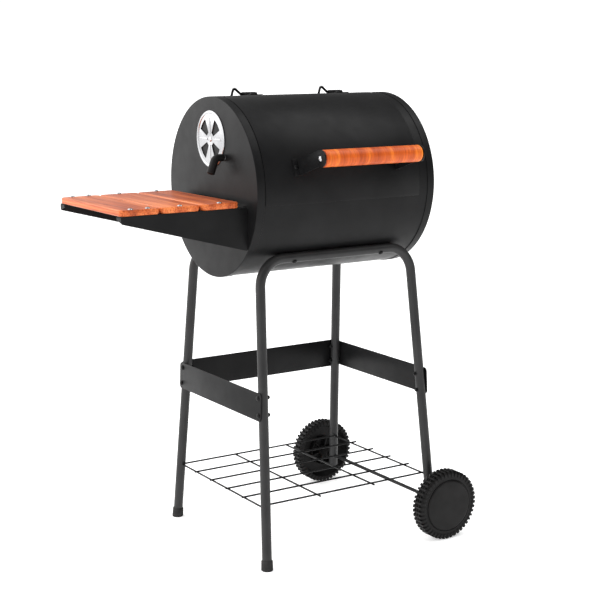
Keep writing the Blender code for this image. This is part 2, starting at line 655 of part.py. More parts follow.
def make_rack():
    """Welded wires: the long ones lie on the cross ones, whose outer two reach into the legs."""
    leg = leg_point(1, 1, RACK_Z)
    half_y = leg.y - TUBE_RADIUS - WIRE_RADIUS - 0.0007
    offsets = spread(half_y, RACK_LONG_WIRES)
    reaches = [leg.x + (0.0 if abs(y) == half_y else RACK_OVERHANG) for y in offsets]
    long_wires = rod_grid([(-reach, reach, y) for reach, y in zip(reaches, offsets)], 0.0)
    rack = make_object("bottom_rack", long_wires, "black_paint", grill, (0, 0, RACK_Z))
    outer = leg.y - 0.0060
    lengths = [outer, half_y + 0.005, half_y + 0.005, outer]
    cross = [(-reach, reach, x) for reach, x in zip(lengths, spread(leg.x, RACK_CROSS_WIRES))]
    join(rack, make_helper(rod_grid(cross, -RACK_CROSS_DROP, True), grill, (0, 0, RACK_Z)))


def make_wheels():
    reach = WHEEL_INNER_Y + 0.0245
    axle = turned([(-reach, 0), (-reach, AXLE_RADIUS), (reach, AXLE_RADIUS), (reach, 0)], 12, "Y")
    make_object("axle", axle, "black_paint", grill, (AXLE_X, 0, AXLE_Z))
    wheel = [(-0.0235, AXLE_BORE), (-0.0235, 0.0115), (0.0200, 0.0125), (0.0200, 0.0600), (0.0, 0.0600),
             (0.0, WHEEL_SHOULDER), (0.0035, WHEEL_RADIUS), (WHEEL_WIDTH - 0.0035, WHEEL_RADIUS),
             (WHEEL_WIDTH, WHEEL_SHOULDER), (WHEEL_WIDTH, HUB_CAP_RADIUS + GAP),
             (0.0262, HUB_CAP_RADIUS + GAP), (0.0262, AXLE_BORE)]
    cap = [(0.0265, 0), (0.0265, HUB_CAP_RADIUS), (0.0325, HUB_CAP_RADIUS), (0.0340, 0.0540),
           (0.0348, 0.0300), (HUB_CAP_RISE, 0)]
    for name, side in (("front", -1), ("rear", 1)):
        spin = make_empty(f"{name}_wheel_spin", (AXLE_X, side * WHEEL_INNER_Y, AXLE_Z), grill)
        for piece, section in (("wheel", wheel), ("hub_cap", cap)):
            shape = turned([(side * y, r) for y, r in section], WHEEL_SIDES, "Y")
            make_object(f"{name}_{piece}", shape, "black_plastic", spin)


# Side shelf


def make_shelf():
    root_x = -END_X - GAP
    tip_x = SHELF_OUTER
    relief = 0.002  # where the flanges meet
    for name, side in (("front", -1), ("rear", 1)):
        web_y = side * SHELF_HALF_Y
        inward = Vector((0, -side * BRACKET_FLANGE, 0))
        bm = bmesh.new()
        corners = [(root_x, BRACKET_TOP - relief), (root_x, BRACKET_ROOT_LOW + relief),
                   (root_x - relief, BRACKET_ROOT_LOW), (tip_x + relief, BRACKET_TIP_LOW),
                   (tip_x, BRACKET_TIP_LOW + relief), (tip_x, BRACKET_TOP - relief),
                   (tip_x + relief, BRACKET_TOP), (root_x - relief, BRACKET_TOP)]
        web = [bm.verts.new((x, web_y, z)) for x, z in corners]
        bm.faces.new(web)
        for first, second, slope in ((0, 1, 0.0), (4, 5, 0.006), (6, 7, 0.0)):
            ends = [web[first], web[second]]
            lifted = [bm.verts.new(vert.co + inward) for vert in ends]
            if slope:
                lifted[0].co.z += slope
            bm.faces.new([ends[0], ends[1], lifted[1], lifted[0]])
        bracket = make_object(f"{name}_shelf_bracket", bm, "black_paint", grill)
        wall = bracket.modifiers.new("wall", "SOLIDIFY")
        wall.thickness = 0.0015
        wall.offset = 1 if web_faces_in(bracket, side) else -1
        wall.use_even_offset = True
        for x, _, _ in screw_places():
            hole = hole_shape(0.004, SCREW_HOLE)
            cut(bracket, make_helper(hole, grill, (x, side * SCREW_Y, BRACKET_TOP), facing((0, 0, 1))))
    bottom = BRACKET_TOP + GAP
    for k, name in enumerate(("outer", "middle", "inner")):
        low_x = SHELF_OUTER + k * BOARD_STEP
        outline = rounded_outline((low_x, -SHELF_HALF_Y), (low_x + BOARD_WIDTH, SHELF_HALF_Y), BOARD_CORNER)
        board = extruded(outline, bottom, BOARD_TOP, "Z")
        board = make_object(f"{name}_shelf_board", board, "shelf_wood", grill)
        soft = board.modifiers.new("soft_edges", "BEVEL")
        soft.width = BOARD_EDGE
        soft.segments = 1
        soft.angle_limit = math.radians(50)
        for x, row, board_index in screw_places():
            if board_index != k:
                continue
            for side, end in ((-1, "front"), (1, "rear")):
                seat = (x, side * SCREW_Y, BOARD_TOP + GAP)
                cut(board, make_helper(hole_shape(0.02, SCREW_HOLE), grill, seat, facing((0, 0, -1))))
                shape = bolt_shape(SCREW_LENGTH, SCREW_HEAD_RADIUS, SCREW_HEAD, SCREW_RADIUS)
                make_object(f"{end}_shelf_screw_{row}", shape, "chrome", grill, seat, facing((0, 0, -1)))


def web_faces_in(bracket, side):
    """Whether the web's normal points towards the middle of the grill."""
    web = max(bracket.data.polygons, key=lambda face: face.area)
    return web.normal.y * side < 0


def screw_places():
    """X, a row number, and the board that each screw holds: two in the outer board, one in the others."""
    middles = [SHELF_OUTER + k * BOARD_STEP + BOARD_WIDTH / 2 for k in range(3)]
    outer = [(middles[0] - OUTER_SCREW_X, 1, 0), (middles[0] + OUTER_SCREW_X, 2, 0)]
    return outer + [(middles[1], 3, 1), (middles[2], 4, 2)]


clear_scene()
finishes = make_finishes()
grill = make_empty("grill", SHIFT)
make_shell()
make_damper()
make_end_cap("right_end_cap", 1)
make_grates()
make_lid()
make_stand()
make_braces()
make_rack()
make_wheels()
make_shelf()
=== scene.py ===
import json
import math
import bmesh
import bpy
from mathutils import Matrix, Vector


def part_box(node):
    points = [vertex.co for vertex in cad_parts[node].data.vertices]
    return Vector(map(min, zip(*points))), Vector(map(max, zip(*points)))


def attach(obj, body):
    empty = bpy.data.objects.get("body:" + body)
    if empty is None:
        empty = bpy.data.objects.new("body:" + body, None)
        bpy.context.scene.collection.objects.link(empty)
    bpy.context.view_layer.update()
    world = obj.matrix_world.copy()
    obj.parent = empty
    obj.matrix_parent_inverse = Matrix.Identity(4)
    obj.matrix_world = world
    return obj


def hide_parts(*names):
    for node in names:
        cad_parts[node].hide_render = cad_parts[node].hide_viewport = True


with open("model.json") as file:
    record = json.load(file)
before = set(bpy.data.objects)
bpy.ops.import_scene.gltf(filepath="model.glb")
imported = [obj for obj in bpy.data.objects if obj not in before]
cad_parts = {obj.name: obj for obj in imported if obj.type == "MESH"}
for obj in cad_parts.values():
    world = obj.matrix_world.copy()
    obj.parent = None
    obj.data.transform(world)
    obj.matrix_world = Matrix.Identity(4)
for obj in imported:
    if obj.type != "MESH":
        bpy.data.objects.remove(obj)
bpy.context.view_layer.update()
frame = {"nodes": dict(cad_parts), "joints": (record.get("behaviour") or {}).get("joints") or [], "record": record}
bodyOfNode = {node: body for body, nodes in frame["record"]["behaviour"]["bodies"].items() for node in nodes}
print("frame loaded:", len(frame["nodes"]), "nodes")

# Everything is modelled with x from the middle of the drum and y from its axis, then moved into place.
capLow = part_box("left_end_cap")[0]
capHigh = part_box("right_end_cap")[1]
drumMiddle = Vector(((capLow.x + capHigh.x) / 2, (capLow.y + capHigh.y) / 2, 0.0))
drumHeight = (capLow.z + capHigh.z) / 2
drumEnd = (capHigh.x - capLow.x) / 2
gap = 0.0003  # between pieces that touch


def spot(node):
    low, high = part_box(node)
    return low - drumMiddle, high - drumMiddle


def middleOf(node):
    low, high = spot(node)
    return (low + high) / 2


# Camera, floor and light

studio = {
    "cameraPlace": (-1.6099, -2.5528, 1.0789),  # from the middle of the drum, and the floor
    "cameraYaw": 0.5615,
    "cameraPitch": -0.1818,
    "cameraRoll": -0.0066,
    "lens": 82.12,
    "floorColour": (0.93, 0.93, 0.93, 1.0),
    "floorGlow": 0.42,
    "backdrop": 1.05,
    "roomLight": 0.15,
    "roomFill": 0.42,  # added for matt surfaces, not seen in reflections
    "leftLight": 2.0,  # added towards the left and back
    "topLight": 0.40,  # added overhead
    "leftwards": (-0.78, 0.62, 0.06),
    "leftSpread": (0.0, 0.85),  # where the added light starts and where it is full
    "topSpread": (0.50, 0.98),
    "topBox": ((1.2, -0.6, 2.8), (0.05, 0.0, 0.8), (1.8, 1.8), 21.0),  # place, target, size, power
    "leftBox": ((-1.9, 2.5, 1.7), (-0.1, 0.0, 0.9), (1.6, 1.2), 10.0),
}


def makeCamera():
    yaw = studio["cameraYaw"]
    pitch = studio["cameraPitch"]
    ahead = Vector((math.sin(yaw) * math.cos(pitch), math.cos(yaw) * math.cos(pitch), math.sin(pitch)))
    right = Vector((math.cos(yaw), -math.sin(yaw), 0.0))
    up = right.cross(ahead)
    roll = studio["cameraRoll"]
    tiltedRight = right * math.cos(roll) + up * math.sin(roll)
    tiltedUp = up * math.cos(roll) - right * math.sin(roll)
    turn = Matrix((tiltedRight, tiltedUp, -ahead)).transposed().to_4x4()
    data = bpy.data.cameras.new("camera")
    data.lens = studio["lens"]
    data.sensor_width = 36.0
    data.clip_start = 0.05
    data.clip_end = 60.0
    camera = bpy.data.objects.new("camera", data)
    camera.matrix_world = Matrix.Translation(drumMiddle + Vector(studio["cameraPlace"])) @ turn
    bpy.context.scene.collection.objects.link(camera)
    bpy.context.scene.camera = camera


def makeFloor():
    bm = bmesh.new()
    bmesh.ops.create_grid(bm, x_segments=1, y_segments=1, size=30.0)
    mesh = bpy.data.meshes.new("floor")
    bm.to_mesh(mesh)
    bm.free()
    material = bpy.data.materials.new("paleFloor")
    material.use_nodes = True
    shader = material.node_tree.nodes["Principled BSDF"]
    shader.inputs["Base Color"].default_value = studio["floorColour"]
    shader.inputs["Roughness"].default_value = 0.9
    shader.inputs["Specular IOR Level"].default_value = 0.1
    shader.inputs["Emission Color"].default_value = (1.0, 1.0, 1.0, 1.0)
    shader.inputs["Emission Strength"].default_value = studio["floorGlow"]
    mesh.materials.append(material)
    floor = bpy.data.objects.new("floor", mesh)
    bpy.context.scene.collection.objects.link(floor)


def makeLight(name, place, target, size, power):
    data = bpy.data.lights.new(name, "AREA")
    data.shape = "RECTANGLE"
    data.size, data.size_y = size
    data.energy = power
    light = bpy.data.objects.new(name, data)
    light.location = place
    light.rotation_euler = (Vector(target) - Vector(place)).to_track_quat("-Z", "Y").to_euler()
    bpy.context.scene.collection.objects.link(light)


def lobe(tree, value, low, high, strength):
    span = tree.nodes.new("ShaderNodeMapRange")
    span.interpolation_type = "SMOOTHSTEP"
    span.inputs["From Min"].default_value = low
    span.inputs["From Max"].default_value = high
    span.inputs["To Max"].default_value = strength
    tree.links.new(value, span.inputs["Value"])
    return span.outputs["Result"]


def makeRoomLight():  # a dim room, brighter overhead and to the left, with a white backdrop
    world = bpy.data.worlds.new("studio")
    bpy.context.scene.world = world
    world.use_nodes = True
    tree = world.node_tree
    place = tree.nodes.new("ShaderNodeTexCoord")
    towards = tree.nodes.new("ShaderNodeVectorMath")
    towards.operation = "DOT_PRODUCT"
    towards.inputs[1].default_value = studio["leftwards"]
    split = tree.nodes.new("ShaderNodeSeparateXYZ")
    tree.links.new(place.outputs["Generated"], towards.inputs[0])
    tree.links.new(place.outputs["Generated"], split.inputs["Vector"])
    left = lobe(tree, towards.outputs["Value"], *studio["leftSpread"], studio["leftLight"])
    top = lobe(tree, split.outputs["Z"], *studio["topSpread"], studio["topLight"])
    both = tree.nodes.new("ShaderNodeMath")
    tree.links.new(left, both.inputs[0])
    tree.links.new(top, both.inputs[1])
    room = tree.nodes.new("ShaderNodeMath")
    room.inputs[1].default_value = studio["roomLight"]
    tree.links.new(both.outputs["Value"], room.inputs[0])
    ray = tree.nodes.new("ShaderNodeLightPath")
    fill = tree.nodes.new("ShaderNodeMath")
    fill.operation = "MULTIPLY_ADD"
    fill.inputs[1].default_value = studio["roomFill"]
    tree.links.new(ray.outputs["Is Diffuse Ray"], fill.inputs[0])
    tree.links.new(room.outputs["Value"], fill.inputs[2])
    mix = tree.nodes.new("ShaderNodeMix")
    mix.inputs["B"].default_value = studio["backdrop"]
    tree.links.new(ray.outputs["Is Camera Ray"], mix.inputs["Factor"])
    tree.links.new(fill.outputs["Value"], mix.inputs["A"])
    background = tree.nodes["Background"]
    background.inputs["Color"].default_value = (1.0, 1.0, 1.0, 1.0)
    tree.links.new(mix.outputs["Result"], background.inputs["Strength"])


def makeStudio():
    makeCamera()
    makeFloor()
    makeRoomLight()
    for name in ("topBox", "leftBox"):
        makeLight(name, *studio[name])
    bpy.context.scene.view_settings.view_transform = "Standard"


makeStudio()
print("studio made")


# Finishes


def newFinish(name, roughness, metallic=0.0, specular=0.5):
    material = bpy.data.materials.new(name)
    material.use_nodes = True
    shader = material.node_tree.nodes["Principled BSDF"]
    shader.inputs["Roughness"].default_value = roughness
    shader.inputs["Metallic"].default_value = metallic
    shader.inputs["Specular IOR Level"].default_value = specular
    return material


def addNode(material, kind, **settings):
    node = material.node_tree.nodes.new(kind)
    for name, value in settings.items():
        setattr(node, name, value)
    return node


def addNoise(material, scale, detail=3.0, stretch=(1.0, 1.0, 1.0)):
    links = material.node_tree.links
    place = addNode(material, "ShaderNodeTexCoord")
    mapping = addNode(material, "ShaderNodeMapping")
    mapping.inputs["Scale"].default_value = stretch
    noise = addNode(material, "ShaderNodeTexNoise")
    noise.inputs["Scale"].default_value = scale
    noise.inputs["Detail"].default_value = detail
    links.new(place.outputs["Object"], mapping.inputs["Vector"])
    links.new(mapping.outputs["Vector"], noise.inputs["Vector"])
    return noise.outputs["Fac"]


def addRamp(material, value, stops):
    ramp = addNode(material, "ShaderNodeValToRGB")
    while len(ramp.color_ramp.elements) < len(stops):
        ramp.color_ramp.elements.new(0.5)
    for element, (place, colour) in zip(ramp.color_ramp.elements, stops):
        element.position = place
        element.color = (*colour, 1.0)
    material.node_tree.links.new(value, ramp.inputs["Fac"])
    return ramp.outputs["Color"]


def addRange(material, value, low, high):
    span = addNode(material, "ShaderNodeMapRange")
    span.inputs["From Min"].default_value = 0.3
    span.inputs["From Max"].default_value = 0.7
    span.inputs["To Min"].default_value = low
    span.inputs["To Max"].default_value = high
    material.node_tree.links.new(value, span.inputs["Value"])
    return span.outputs["Result"]


def addBump(material, value, depth, strength=0.5):
    bump = addNode(material, "ShaderNodeBump")
    bump.inputs["Strength"].default_value = strength
    bump.inputs["Distance"].default_value = depth
    links = material.node_tree.links
    links.new(value, bump.inputs["Height"])
    links.new(bump.outputs["Normal"], material.node_tree.nodes["Principled BSDF"].inputs["Normal"])


def addMix(material, factor, first, second, how="MULTIPLY"):
    mix = addNode(material, "ShaderNodeMix", data_type="RGBA", blend_type=how)
    links = material.node_tree.links
    mix.inputs["Factor"].default_value = factor
    links.new(first, mix.inputs[6])
    links.new(second, mix.inputs[7])
    return mix.outputs[2]


def feed(material, value, socket):
    shader = material.node_tree.nodes["Principled BSDF"]
    material.node_tree.links.new(value, shader.inputs[socket])


def plainFinish(name, dark, light, patchScale, roughLow, roughHigh, grainScale, grainDepth, **more):
    material = newFinish(name, (roughLow + roughHigh) / 2, **more)
    patches = addNoise(material, patchScale)
    feed(material, addRamp(material, patches, [(0.35, dark), (0.65, light)]), "Base Color")
    feed(material, addRange(material, addNoise(material, patchScale * 2.3), roughLow, roughHigh), "Roughness")
    addBump(material, addNoise(material, grainScale, 2.0), grainDepth)
    return material


def woodFinish(name, stops, streak, stretch, fibre, roughLow, roughHigh):
    material = newFinish(name, (roughLow + roughHigh) / 2)
    figure = addRamp(material, addNoise(material, 1.0, 4.0, stretch), stops)
    fibres = addNoise(material, 1.0, 2.0, fibre)
    grain = addRamp(material, fibres, [(0.32, streak), (0.55, (1.0, 1.0, 1.0))])
    feed(material, addMix(material, 0.8, figure, grain), "Base Color")
    feed(material, addRange(material, fibres, roughHigh, roughLow), "Roughness")
    addBump(material, fibres, 0.00012, 0.4)
    shader = material.node_tree.nodes["Principled BSDF"]
    shader.inputs["Coat Weight"].default_value = 0.05
    shader.inputs["Specular IOR Level"].default_value = 0.25
    shader.inputs["Coat Roughness"].default_value = 0.25
    return material


finishes = {
    "black_paint": plainFinish("blackPaint", (0.0058, 0.0058, 0.0061), (0.0090, 0.0090, 0.0094), 14.0,
                               0.34, 0.44, 620.0, 0.00005, specular=0.13),
    "chrome": plainFinish("chromePlate", (0.43, 0.43, 0.44), (0.50, 0.50, 0.51), 30.0,
                          0.14, 0.24, 240.0, 0.00002, metallic=1.0),
    "zinc_steel": plainFinish("zincSteel", (0.48, 0.48, 0.49), (0.66, 0.66, 0.67), 120.0,
                              0.28, 0.45, 500.0, 0.00004, metallic=1.0),
    "black_plastic": plainFinish("blackPlastic", (0.0078, 0.0075, 0.0075), (0.0120, 0.0115, 0.0115), 22.0,
                                 0.42, 0.56, 900.0, 0.00007, specular=0.15),
    "black_rubber": plainFinish("blackRubber", (0.014, 0.014, 0.014), (0.024, 0.024, 0.024), 60.0,
                                0.66, 0.85, 1100.0, 0.00010, specular=0.3),
    "grate_steel": plainFinish("grateSteel", (0.16, 0.16, 0.16), (0.30, 0.30, 0.30), 90.0,
                               0.35, 0.55, 700.0, 0.00005, metallic=1.0),
    "shelf_wood": woodFinish("shelfWood", [(0.30, (0.36, 0.062, 0.015)), (0.50, (0.66, 0.142, 0.034)),
                                           (0.68, (0.88, 0.255, 0.075))],
                             (0.50, 0.33, 0.24), (46.0, 2.6, 46.0), (300.0, 8.0, 300.0), 0.30, 0.46),
    "grip_wood": woodFinish("gripWood", [(0.32, (0.40, 0.054, 0.006)), (0.50, (0.66, 0.112, 0.010)),
                                         (0.68, (0.92, 0.250, 0.020))],
                            (0.62, 0.45, 0.34), (38.0, 5.0, 5.0), (520.0, 30.0, 30.0), 0.34, 0.48),
}
# Painted light: a lighter, glossier copy of the black paint, used only on the leg tubes so they read brighter than
# the drum
paintedLightTubePaint = plainFinish("paintedLightTubePaint", (0.019, 0.019, 0.0195), (0.027, 0.027, 0.0275), 14.0,
                        0.36, 0.48, 620.0, 0.00005, specular=0.30)
print("finishes made:", len(finishes))


# Shapes


def onCircle(radius, degrees):  # in the YZ plane, degrees from the front upwards
    return Vector((0.0, -radius * math.cos(math.radians(degrees)), radius * math.sin(math.radians(degrees))))


def arcAngles(low, high, step):
    count = max(1, round((high - low) / step))
    return [low + (high - low) * k / count for k in range(count + 1)]


def cornerArc(centre, radius, start, end, steps=5):
    points = []
    for k in range(steps + 1):
        angle = math.radians(start + (end - start) * k / steps)
        points.append((centre[0] + radius * math.cos(angle), centre[1] + radius * math.sin(angle)))
    return points


def turned(sections, sides, axis="X", centre=(0, 0, 0)):  # (along, radius) points; 0 is on the axis
    bm = bmesh.new()
    frames = {
        "X": Matrix(),
        "Y": Matrix.Rotation(math.radians(90), 4, "Z"),
        "Z": Matrix.Rotation(math.radians(-90), 4, "Y"),
    }
    place = Matrix.Translation(centre) @ frames[axis]
    rings = []
    for along, radius in sections:
        if radius == 0:
            rings.append([bm.verts.new(place @ Vector((along, 0, 0)))] * sides)
            continue
        ring = []
        for k in range(sides):
            angle = math.tau * k / sides
            point = Vector((along, radius * math.cos(angle), radius * math.sin(angle)))
            ring.append(bm.verts.new(place @ point))
        rings.append(ring)
    if sections[0][1] > 0:
        rings.append(rings[0])
    for near, far in zip(rings, rings[1:]):
        for k in range(sides):
            corners = list(dict.fromkeys([near[k], far[k], far[(k + 1) % sides], near[(k + 1) % sides]]))
            if len(corners) > 2:
                bm.faces.new(corners)
    return bm


def bridge(bm, rings):  # faces from each ring of points to the next
    for near, far in zip(rings, rings[1:]):
        for k in range(len(near)):
            m = (k + 1) % len(near)
            bm.faces.new([near[k], near[m], far[m], far[k]])


def enclose(bm, rows):  # faces on and between two matching outlines
    bm.faces.new(rows[0])
    bm.faces.new(list(reversed(rows[1])))
    for k in range(len(rows[0])):
        m = (k + 1) % len(rows[0])
        bm.faces.new([rows[0][k], rows[1][k], rows[1][m], rows[0][m]])


def extruded(outline, low, high, axis="X"):  # a flat outline made into a plate along an axis
    bm = bmesh.new()
    rows = []
    for along in (low, high):
        row = []
        for point in outline:
            values = list(point)
            values.insert("XYZ".index(axis), along)
            row.append(bm.verts.new(values))
        rows.append(row)
    enclose(bm, rows)
    return bm


def boxShape(low, high):
    corners = [(low[0], low[1]), (high[0], low[1]), (high[0], high[1]), (low[0], high[1])]
    return extruded(corners, low[2], high[2], "Z")


def roundedOutline(low, high, radius, steps=8):
    centres = [(high[0] - radius, high[1] - radius), (low[0] + radius, high[1] - radius),
               (low[0] + radius, low[1] + radius), (high[0] - radius, low[1] + radius)]
    outline = []
    for quarter, centre in enumerate(centres):
        outline += cornerArc(centre, radius, 90 * quarter, 90 * quarter + 90, steps)
    return outline


def curvedSheet(left, right, inner, outer, low, high, step=2.5, centre=(0, 0, 0)):  # follows the drum
    bm = bmesh.new()
    rings = []
    for degrees in arcAngles(low, high, step):
        section = [(left, inner), (right, inner), (right, outer), (left, outer)]
        ring = []
        for x, radius in section:
            ring.append(bm.verts.new(Vector(centre) + onCircle(radius, degrees) + Vector((x, 0, 0))))
        rings.append(ring)
    bridge(bm, rings)
    bm.faces.new(rings[0])
    bm.faces.new(list(reversed(rings[-1])))
    return bm


def bentPath(corners, radius, steps=12):  # a line through the corners, with an arc at each inner one
    corners = [Vector(corner) for corner in corners]
    path = [corners[0]]
    for before, corner, after in zip(corners, corners[1:], corners[2:]):
        inward = (corner - before).normalized()
        outward = (after - corner).normalized()
        turn = inward.angle(outward)
        towards = (outward - inward * math.cos(turn)).normalized()
        centre = corner - inward * radius * math.tan(turn / 2) + towards * radius
        for k in range(steps + 1):
            angle = turn * k / steps
            path.append(centre + radius * (inward * math.sin(angle) - towards * math.cos(angle)))
    path.append(corners[-1])
    return path


def swept(path, radii, sides, normal, bore=0.0):  # a round bar along a path, or a tube if it has a bore
    bm = bmesh.new()
    path = [Vector(point) for point in path]
    if isinstance(radii, float):
        radii = [radii] * len(path)
    normal = Vector(normal)
    outer = []
    inner = []
    for k, point in enumerate(path):
        ahead = (path[min(k + 1, len(path) - 1)] - point).normalized()
        behind = (point - path[max(k - 1, 0)]).normalized()
        tangent = (ahead + behind).normalized()
        normal = (normal - tangent * normal.dot(tangent)).normalized()
        across = tangent.cross(normal)
        angles = [math.tau * n / sides for n in range(sides)]
        spokes = [normal * math.cos(angle) + across * math.sin(angle) for angle in angles]
        outer.append([bm.verts.new(point + radii[k] * spoke) for spoke in spokes])
        if bore:
            inner.append([bm.verts.new(point + bore * spoke) for spoke in spokes])
    bridge(bm, outer)
    bridge(bm, inner)
    for end in (0, -1):
        if not bore:
            bm.faces.new(outer[end])
            continue
        for n in range(sides):
            m = (n + 1) % sides
            bm.faces.new([outer[end][n], outer[end][m], inner[end][m], inner[end][n]])
    return bm


def combined(*shapes):
    bm = bmesh.new()
    for shape in shapes:
        bmesh.ops.recalc_face_normals(shape, faces=shape.faces)
        part = bpy.data.meshes.new("part")
        shape.to_mesh(part)
        shape.free()
        bm.from_mesh(part)
        bpy.data.meshes.remove(part)
    return bm


def meshOf(name, bm, sharp=32.0, keepNormals=False):
    bmesh.ops.remove_doubles(bm, verts=bm.verts, dist=0.00001)
    if not keepNormals:
        bmesh.ops.recalc_face_normals(bm, faces=bm.faces)
    mesh = bpy.data.meshes.new(name)
    bm.to_mesh(mesh)
    bm.free()
    mesh.shade_smooth()
    mesh.set_sharp_from_angle(angle=math.radians(sharp))
    return mesh


def flatten(holder):
    bpy.context.view_layer.update()
    depsgraph = bpy.context.evaluated_depsgraph_get()
    mesh = bpy.data.meshes.new_from_object(holder.evaluated_get(depsgraph), depsgraph=depsgraph)
    holder.modifiers.clear()
    holder.data = mesh
    return mesh


def newHolder(name, mesh):
    holder = bpy.data.objects.new(name, mesh)
    bpy.context.scene.collection.objects.link(holder)
    return holder


def carved(mesh, helpers, operation="DIFFERENCE"):
    holder = newHolder("carving", mesh)
    for helper in helpers:
        tool = newHolder("tool", meshOf("tool", helper))
        modifier = holder.modifiers.new("cut", "BOOLEAN")
        modifier.operation = operation
        modifier.solver = "EXACT"
        modifier.object = tool
        flatten(holder)
        bpy.data.objects.remove(tool)
    result = holder.data
    bpy.data.objects.remove(holder)
    bm = bmesh.new()
    bm.from_mesh(result)
    bmesh.ops.remove_doubles(bm, verts=bm.verts, dist=0.00001)
    bmesh.ops.dissolve_degenerate(bm, edges=bm.edges, dist=0.00001)
    bmesh.ops.holes_fill(bm, edges=[edge for edge in bm.edges if edge.is_boundary], sides=8)
    bm.to_mesh(result)
    bm.free()
    return result


def eased(mesh, width, segments=2, angle=38.0):  # rounds the sharp edges
    holder = newHolder("easing", mesh)
    modifier = holder.modifiers.new("ease", "BEVEL")
    modifier.width = width
    modifier.segments = segments
    modifier.limit_method = "ANGLE"
    modifier.angle_limit = math.radians(angle)
    result = flatten(holder)
    bpy.data.objects.remove(holder)
    return result


def placed(name, mesh, slotName, stands=(), body=None, sharp=32.0):
    mesh.transform(Matrix.Translation(drumMiddle))
    mesh.shade_smooth()
    mesh.set_sharp_from_angle(angle=math.radians(sharp))
    mesh.materials.clear()
    mesh.materials.append(finishes[slotName])
    mesh.polygons.foreach_set("material_index", [0] * len(mesh.polygons))
    mesh.name = name
    piece = newHolder(name, mesh)
    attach(piece, body or bodyOfNode[stands[0]])
    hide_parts(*stands)
    return piece


# Geometry node trees for what repeats


def newTree(name, sockets):
    tree = bpy.data.node_groups.new(name, "GeometryNodeTree")
    tree.interface.new_socket("Geometry", in_out="OUTPUT", socket_type="NodeSocketGeometry")
    tree.interface.new_socket("Geometry", in_out="INPUT", socket_type="NodeSocketGeometry")
    for label, kind in sockets.items():
        tree.interface.new_socket(label, in_out="INPUT", socket_type="NodeSocket" + kind)
    inputs = tree.nodes.new("NodeGroupInput")
    return tree, inputs.outputs


def shapeIn(tree, given):
    shape = tree.nodes.new("GeometryNodeObjectInfo")
    shape.inputs["As Instance"].default_value = True
    tree.links.new(given["Shape"], shape.inputs["Object"])
    return shape.outputs["Geometry"]


def closeTree(tree, points, shape, material, rotation=None):  # the shape on every point, as real geometry
    links = tree.links
    spread = tree.nodes.new("GeometryNodeInstanceOnPoints")
    links.new(points, spread.inputs["Points"])
    links.new(shape, spread.inputs["Instance"])
    if rotation:
        links.new(rotation, spread.inputs["Rotation"])
    real = tree.nodes.new("GeometryNodeRealizeInstances")
    finish = tree.nodes.new("GeometryNodeSetMaterial")
    output = tree.nodes.new("NodeGroupOutput")
    links.new(spread.outputs["Instances"], real.inputs["Geometry"])
    links.new(real.outputs["Geometry"], finish.inputs["Geometry"])
    links.new(material, finish.inputs["Material"])
    links.new(finish.outputs["Geometry"], output.inputs["Geometry"])


def makeBarRowTree():  # straight round bars side by side
    tree, given = newTree("barRow", {"Count": "Int", "First": "Vector", "Step": "Vector", "Half bar": "Vector",
                                     "Radius": "Float", "Sides": "Int", "Material": "Material"})
    nodes = tree.nodes
    links = tree.links
    row = nodes.new("GeometryNodeMeshLine")
    row.mode = "OFFSET"
    links.new(given["Count"], row.inputs["Count"])
    links.new(given["First"], row.inputs["Start Location"])
    links.new(given["Step"], row.inputs["Offset"])
    back = nodes.new("ShaderNodeVectorMath")
    back.operation = "SCALE"
    back.inputs["Scale"].default_value = -1.0
    links.new(given["Half bar"], back.inputs[0])
    line = nodes.new("GeometryNodeCurvePrimitiveLine")
    links.new(back.outputs["Vector"], line.inputs["Start"])
    links.new(given["Half bar"], line.inputs["End"])
    circle = nodes.new("GeometryNodeCurvePrimitiveCircle")
    links.new(given["Sides"], circle.inputs["Resolution"])
    links.new(given["Radius"], circle.inputs["Radius"])
    bar = nodes.new("GeometryNodeCurveToMesh")
    bar.inputs["Fill Caps"].default_value = True
    links.new(line.outputs["Curve"], bar.inputs["Curve"])
    links.new(circle.outputs["Curve"], bar.inputs["Profile Curve"])
    closeTree(tree, row.outputs["Mesh"], bar.outputs["Mesh"], given["Material"])
    return tree


def makeRingTree():  # one shape repeated round an axis
    tree, given = newTree("ringOf", {"Count": "Int", "Centre": "Vector", "Axis": "Vector", "Turn": "Float",
                                     "Shape": "Object", "Material": "Material"})
    nodes = tree.nodes
    links = tree.links
    row = nodes.new("GeometryNodeMeshLine")
    row.mode = "OFFSET"
    row.inputs["Offset"].default_value = (0.0, 0.0, 0.0)
    links.new(given["Count"], row.inputs["Count"])
    links.new(given["Centre"], row.inputs["Start Location"])
    index = nodes.new("GeometryNodeInputIndex")
    share = nodes.new("ShaderNodeMath")
    share.operation = "DIVIDE"
    links.new(index.outputs["Index"], share.inputs[0])
    links.new(given["Count"], share.inputs[1])
    angle = nodes.new("ShaderNodeMath")
    angle.operation = "MULTIPLY_ADD"
    angle.inputs[1].default_value = math.tau
    links.new(share.outputs["Value"], angle.inputs[0])
    links.new(given["Turn"], angle.inputs[2])
    rotation = nodes.new("FunctionNodeAxisAngleToRotation")
    links.new(given["Axis"], rotation.inputs["Axis"])
    links.new(angle.outputs["Value"], rotation.inputs["Angle"])
    shape = shapeIn(tree, given)
    closeTree(tree, row.outputs["Mesh"], shape, given["Material"], rotation.outputs["Rotation"])
    return tree


def makeFastenerTree():  # one fastener on every point, its crown along the point's "towards" attribute
    tree, given = newTree("fasteners", {"Shape": "Object", "Material": "Material"})
    nodes = tree.nodes
    links = tree.links
    towards = nodes.new("GeometryNodeInputNamedAttribute")
    towards.data_type = "FLOAT_VECTOR"
    towards.inputs["Name"].default_value = "towards"
    align = nodes.new("FunctionNodeAlignRotationToVector")
    align.axis = "Z"
    links.new(towards.outputs["Attribute"], align.inputs["Vector"])
    shape = shapeIn(tree, given)
    closeTree(tree, given["Geometry"], shape, given["Material"], align.outputs["Rotation"])
    return tree


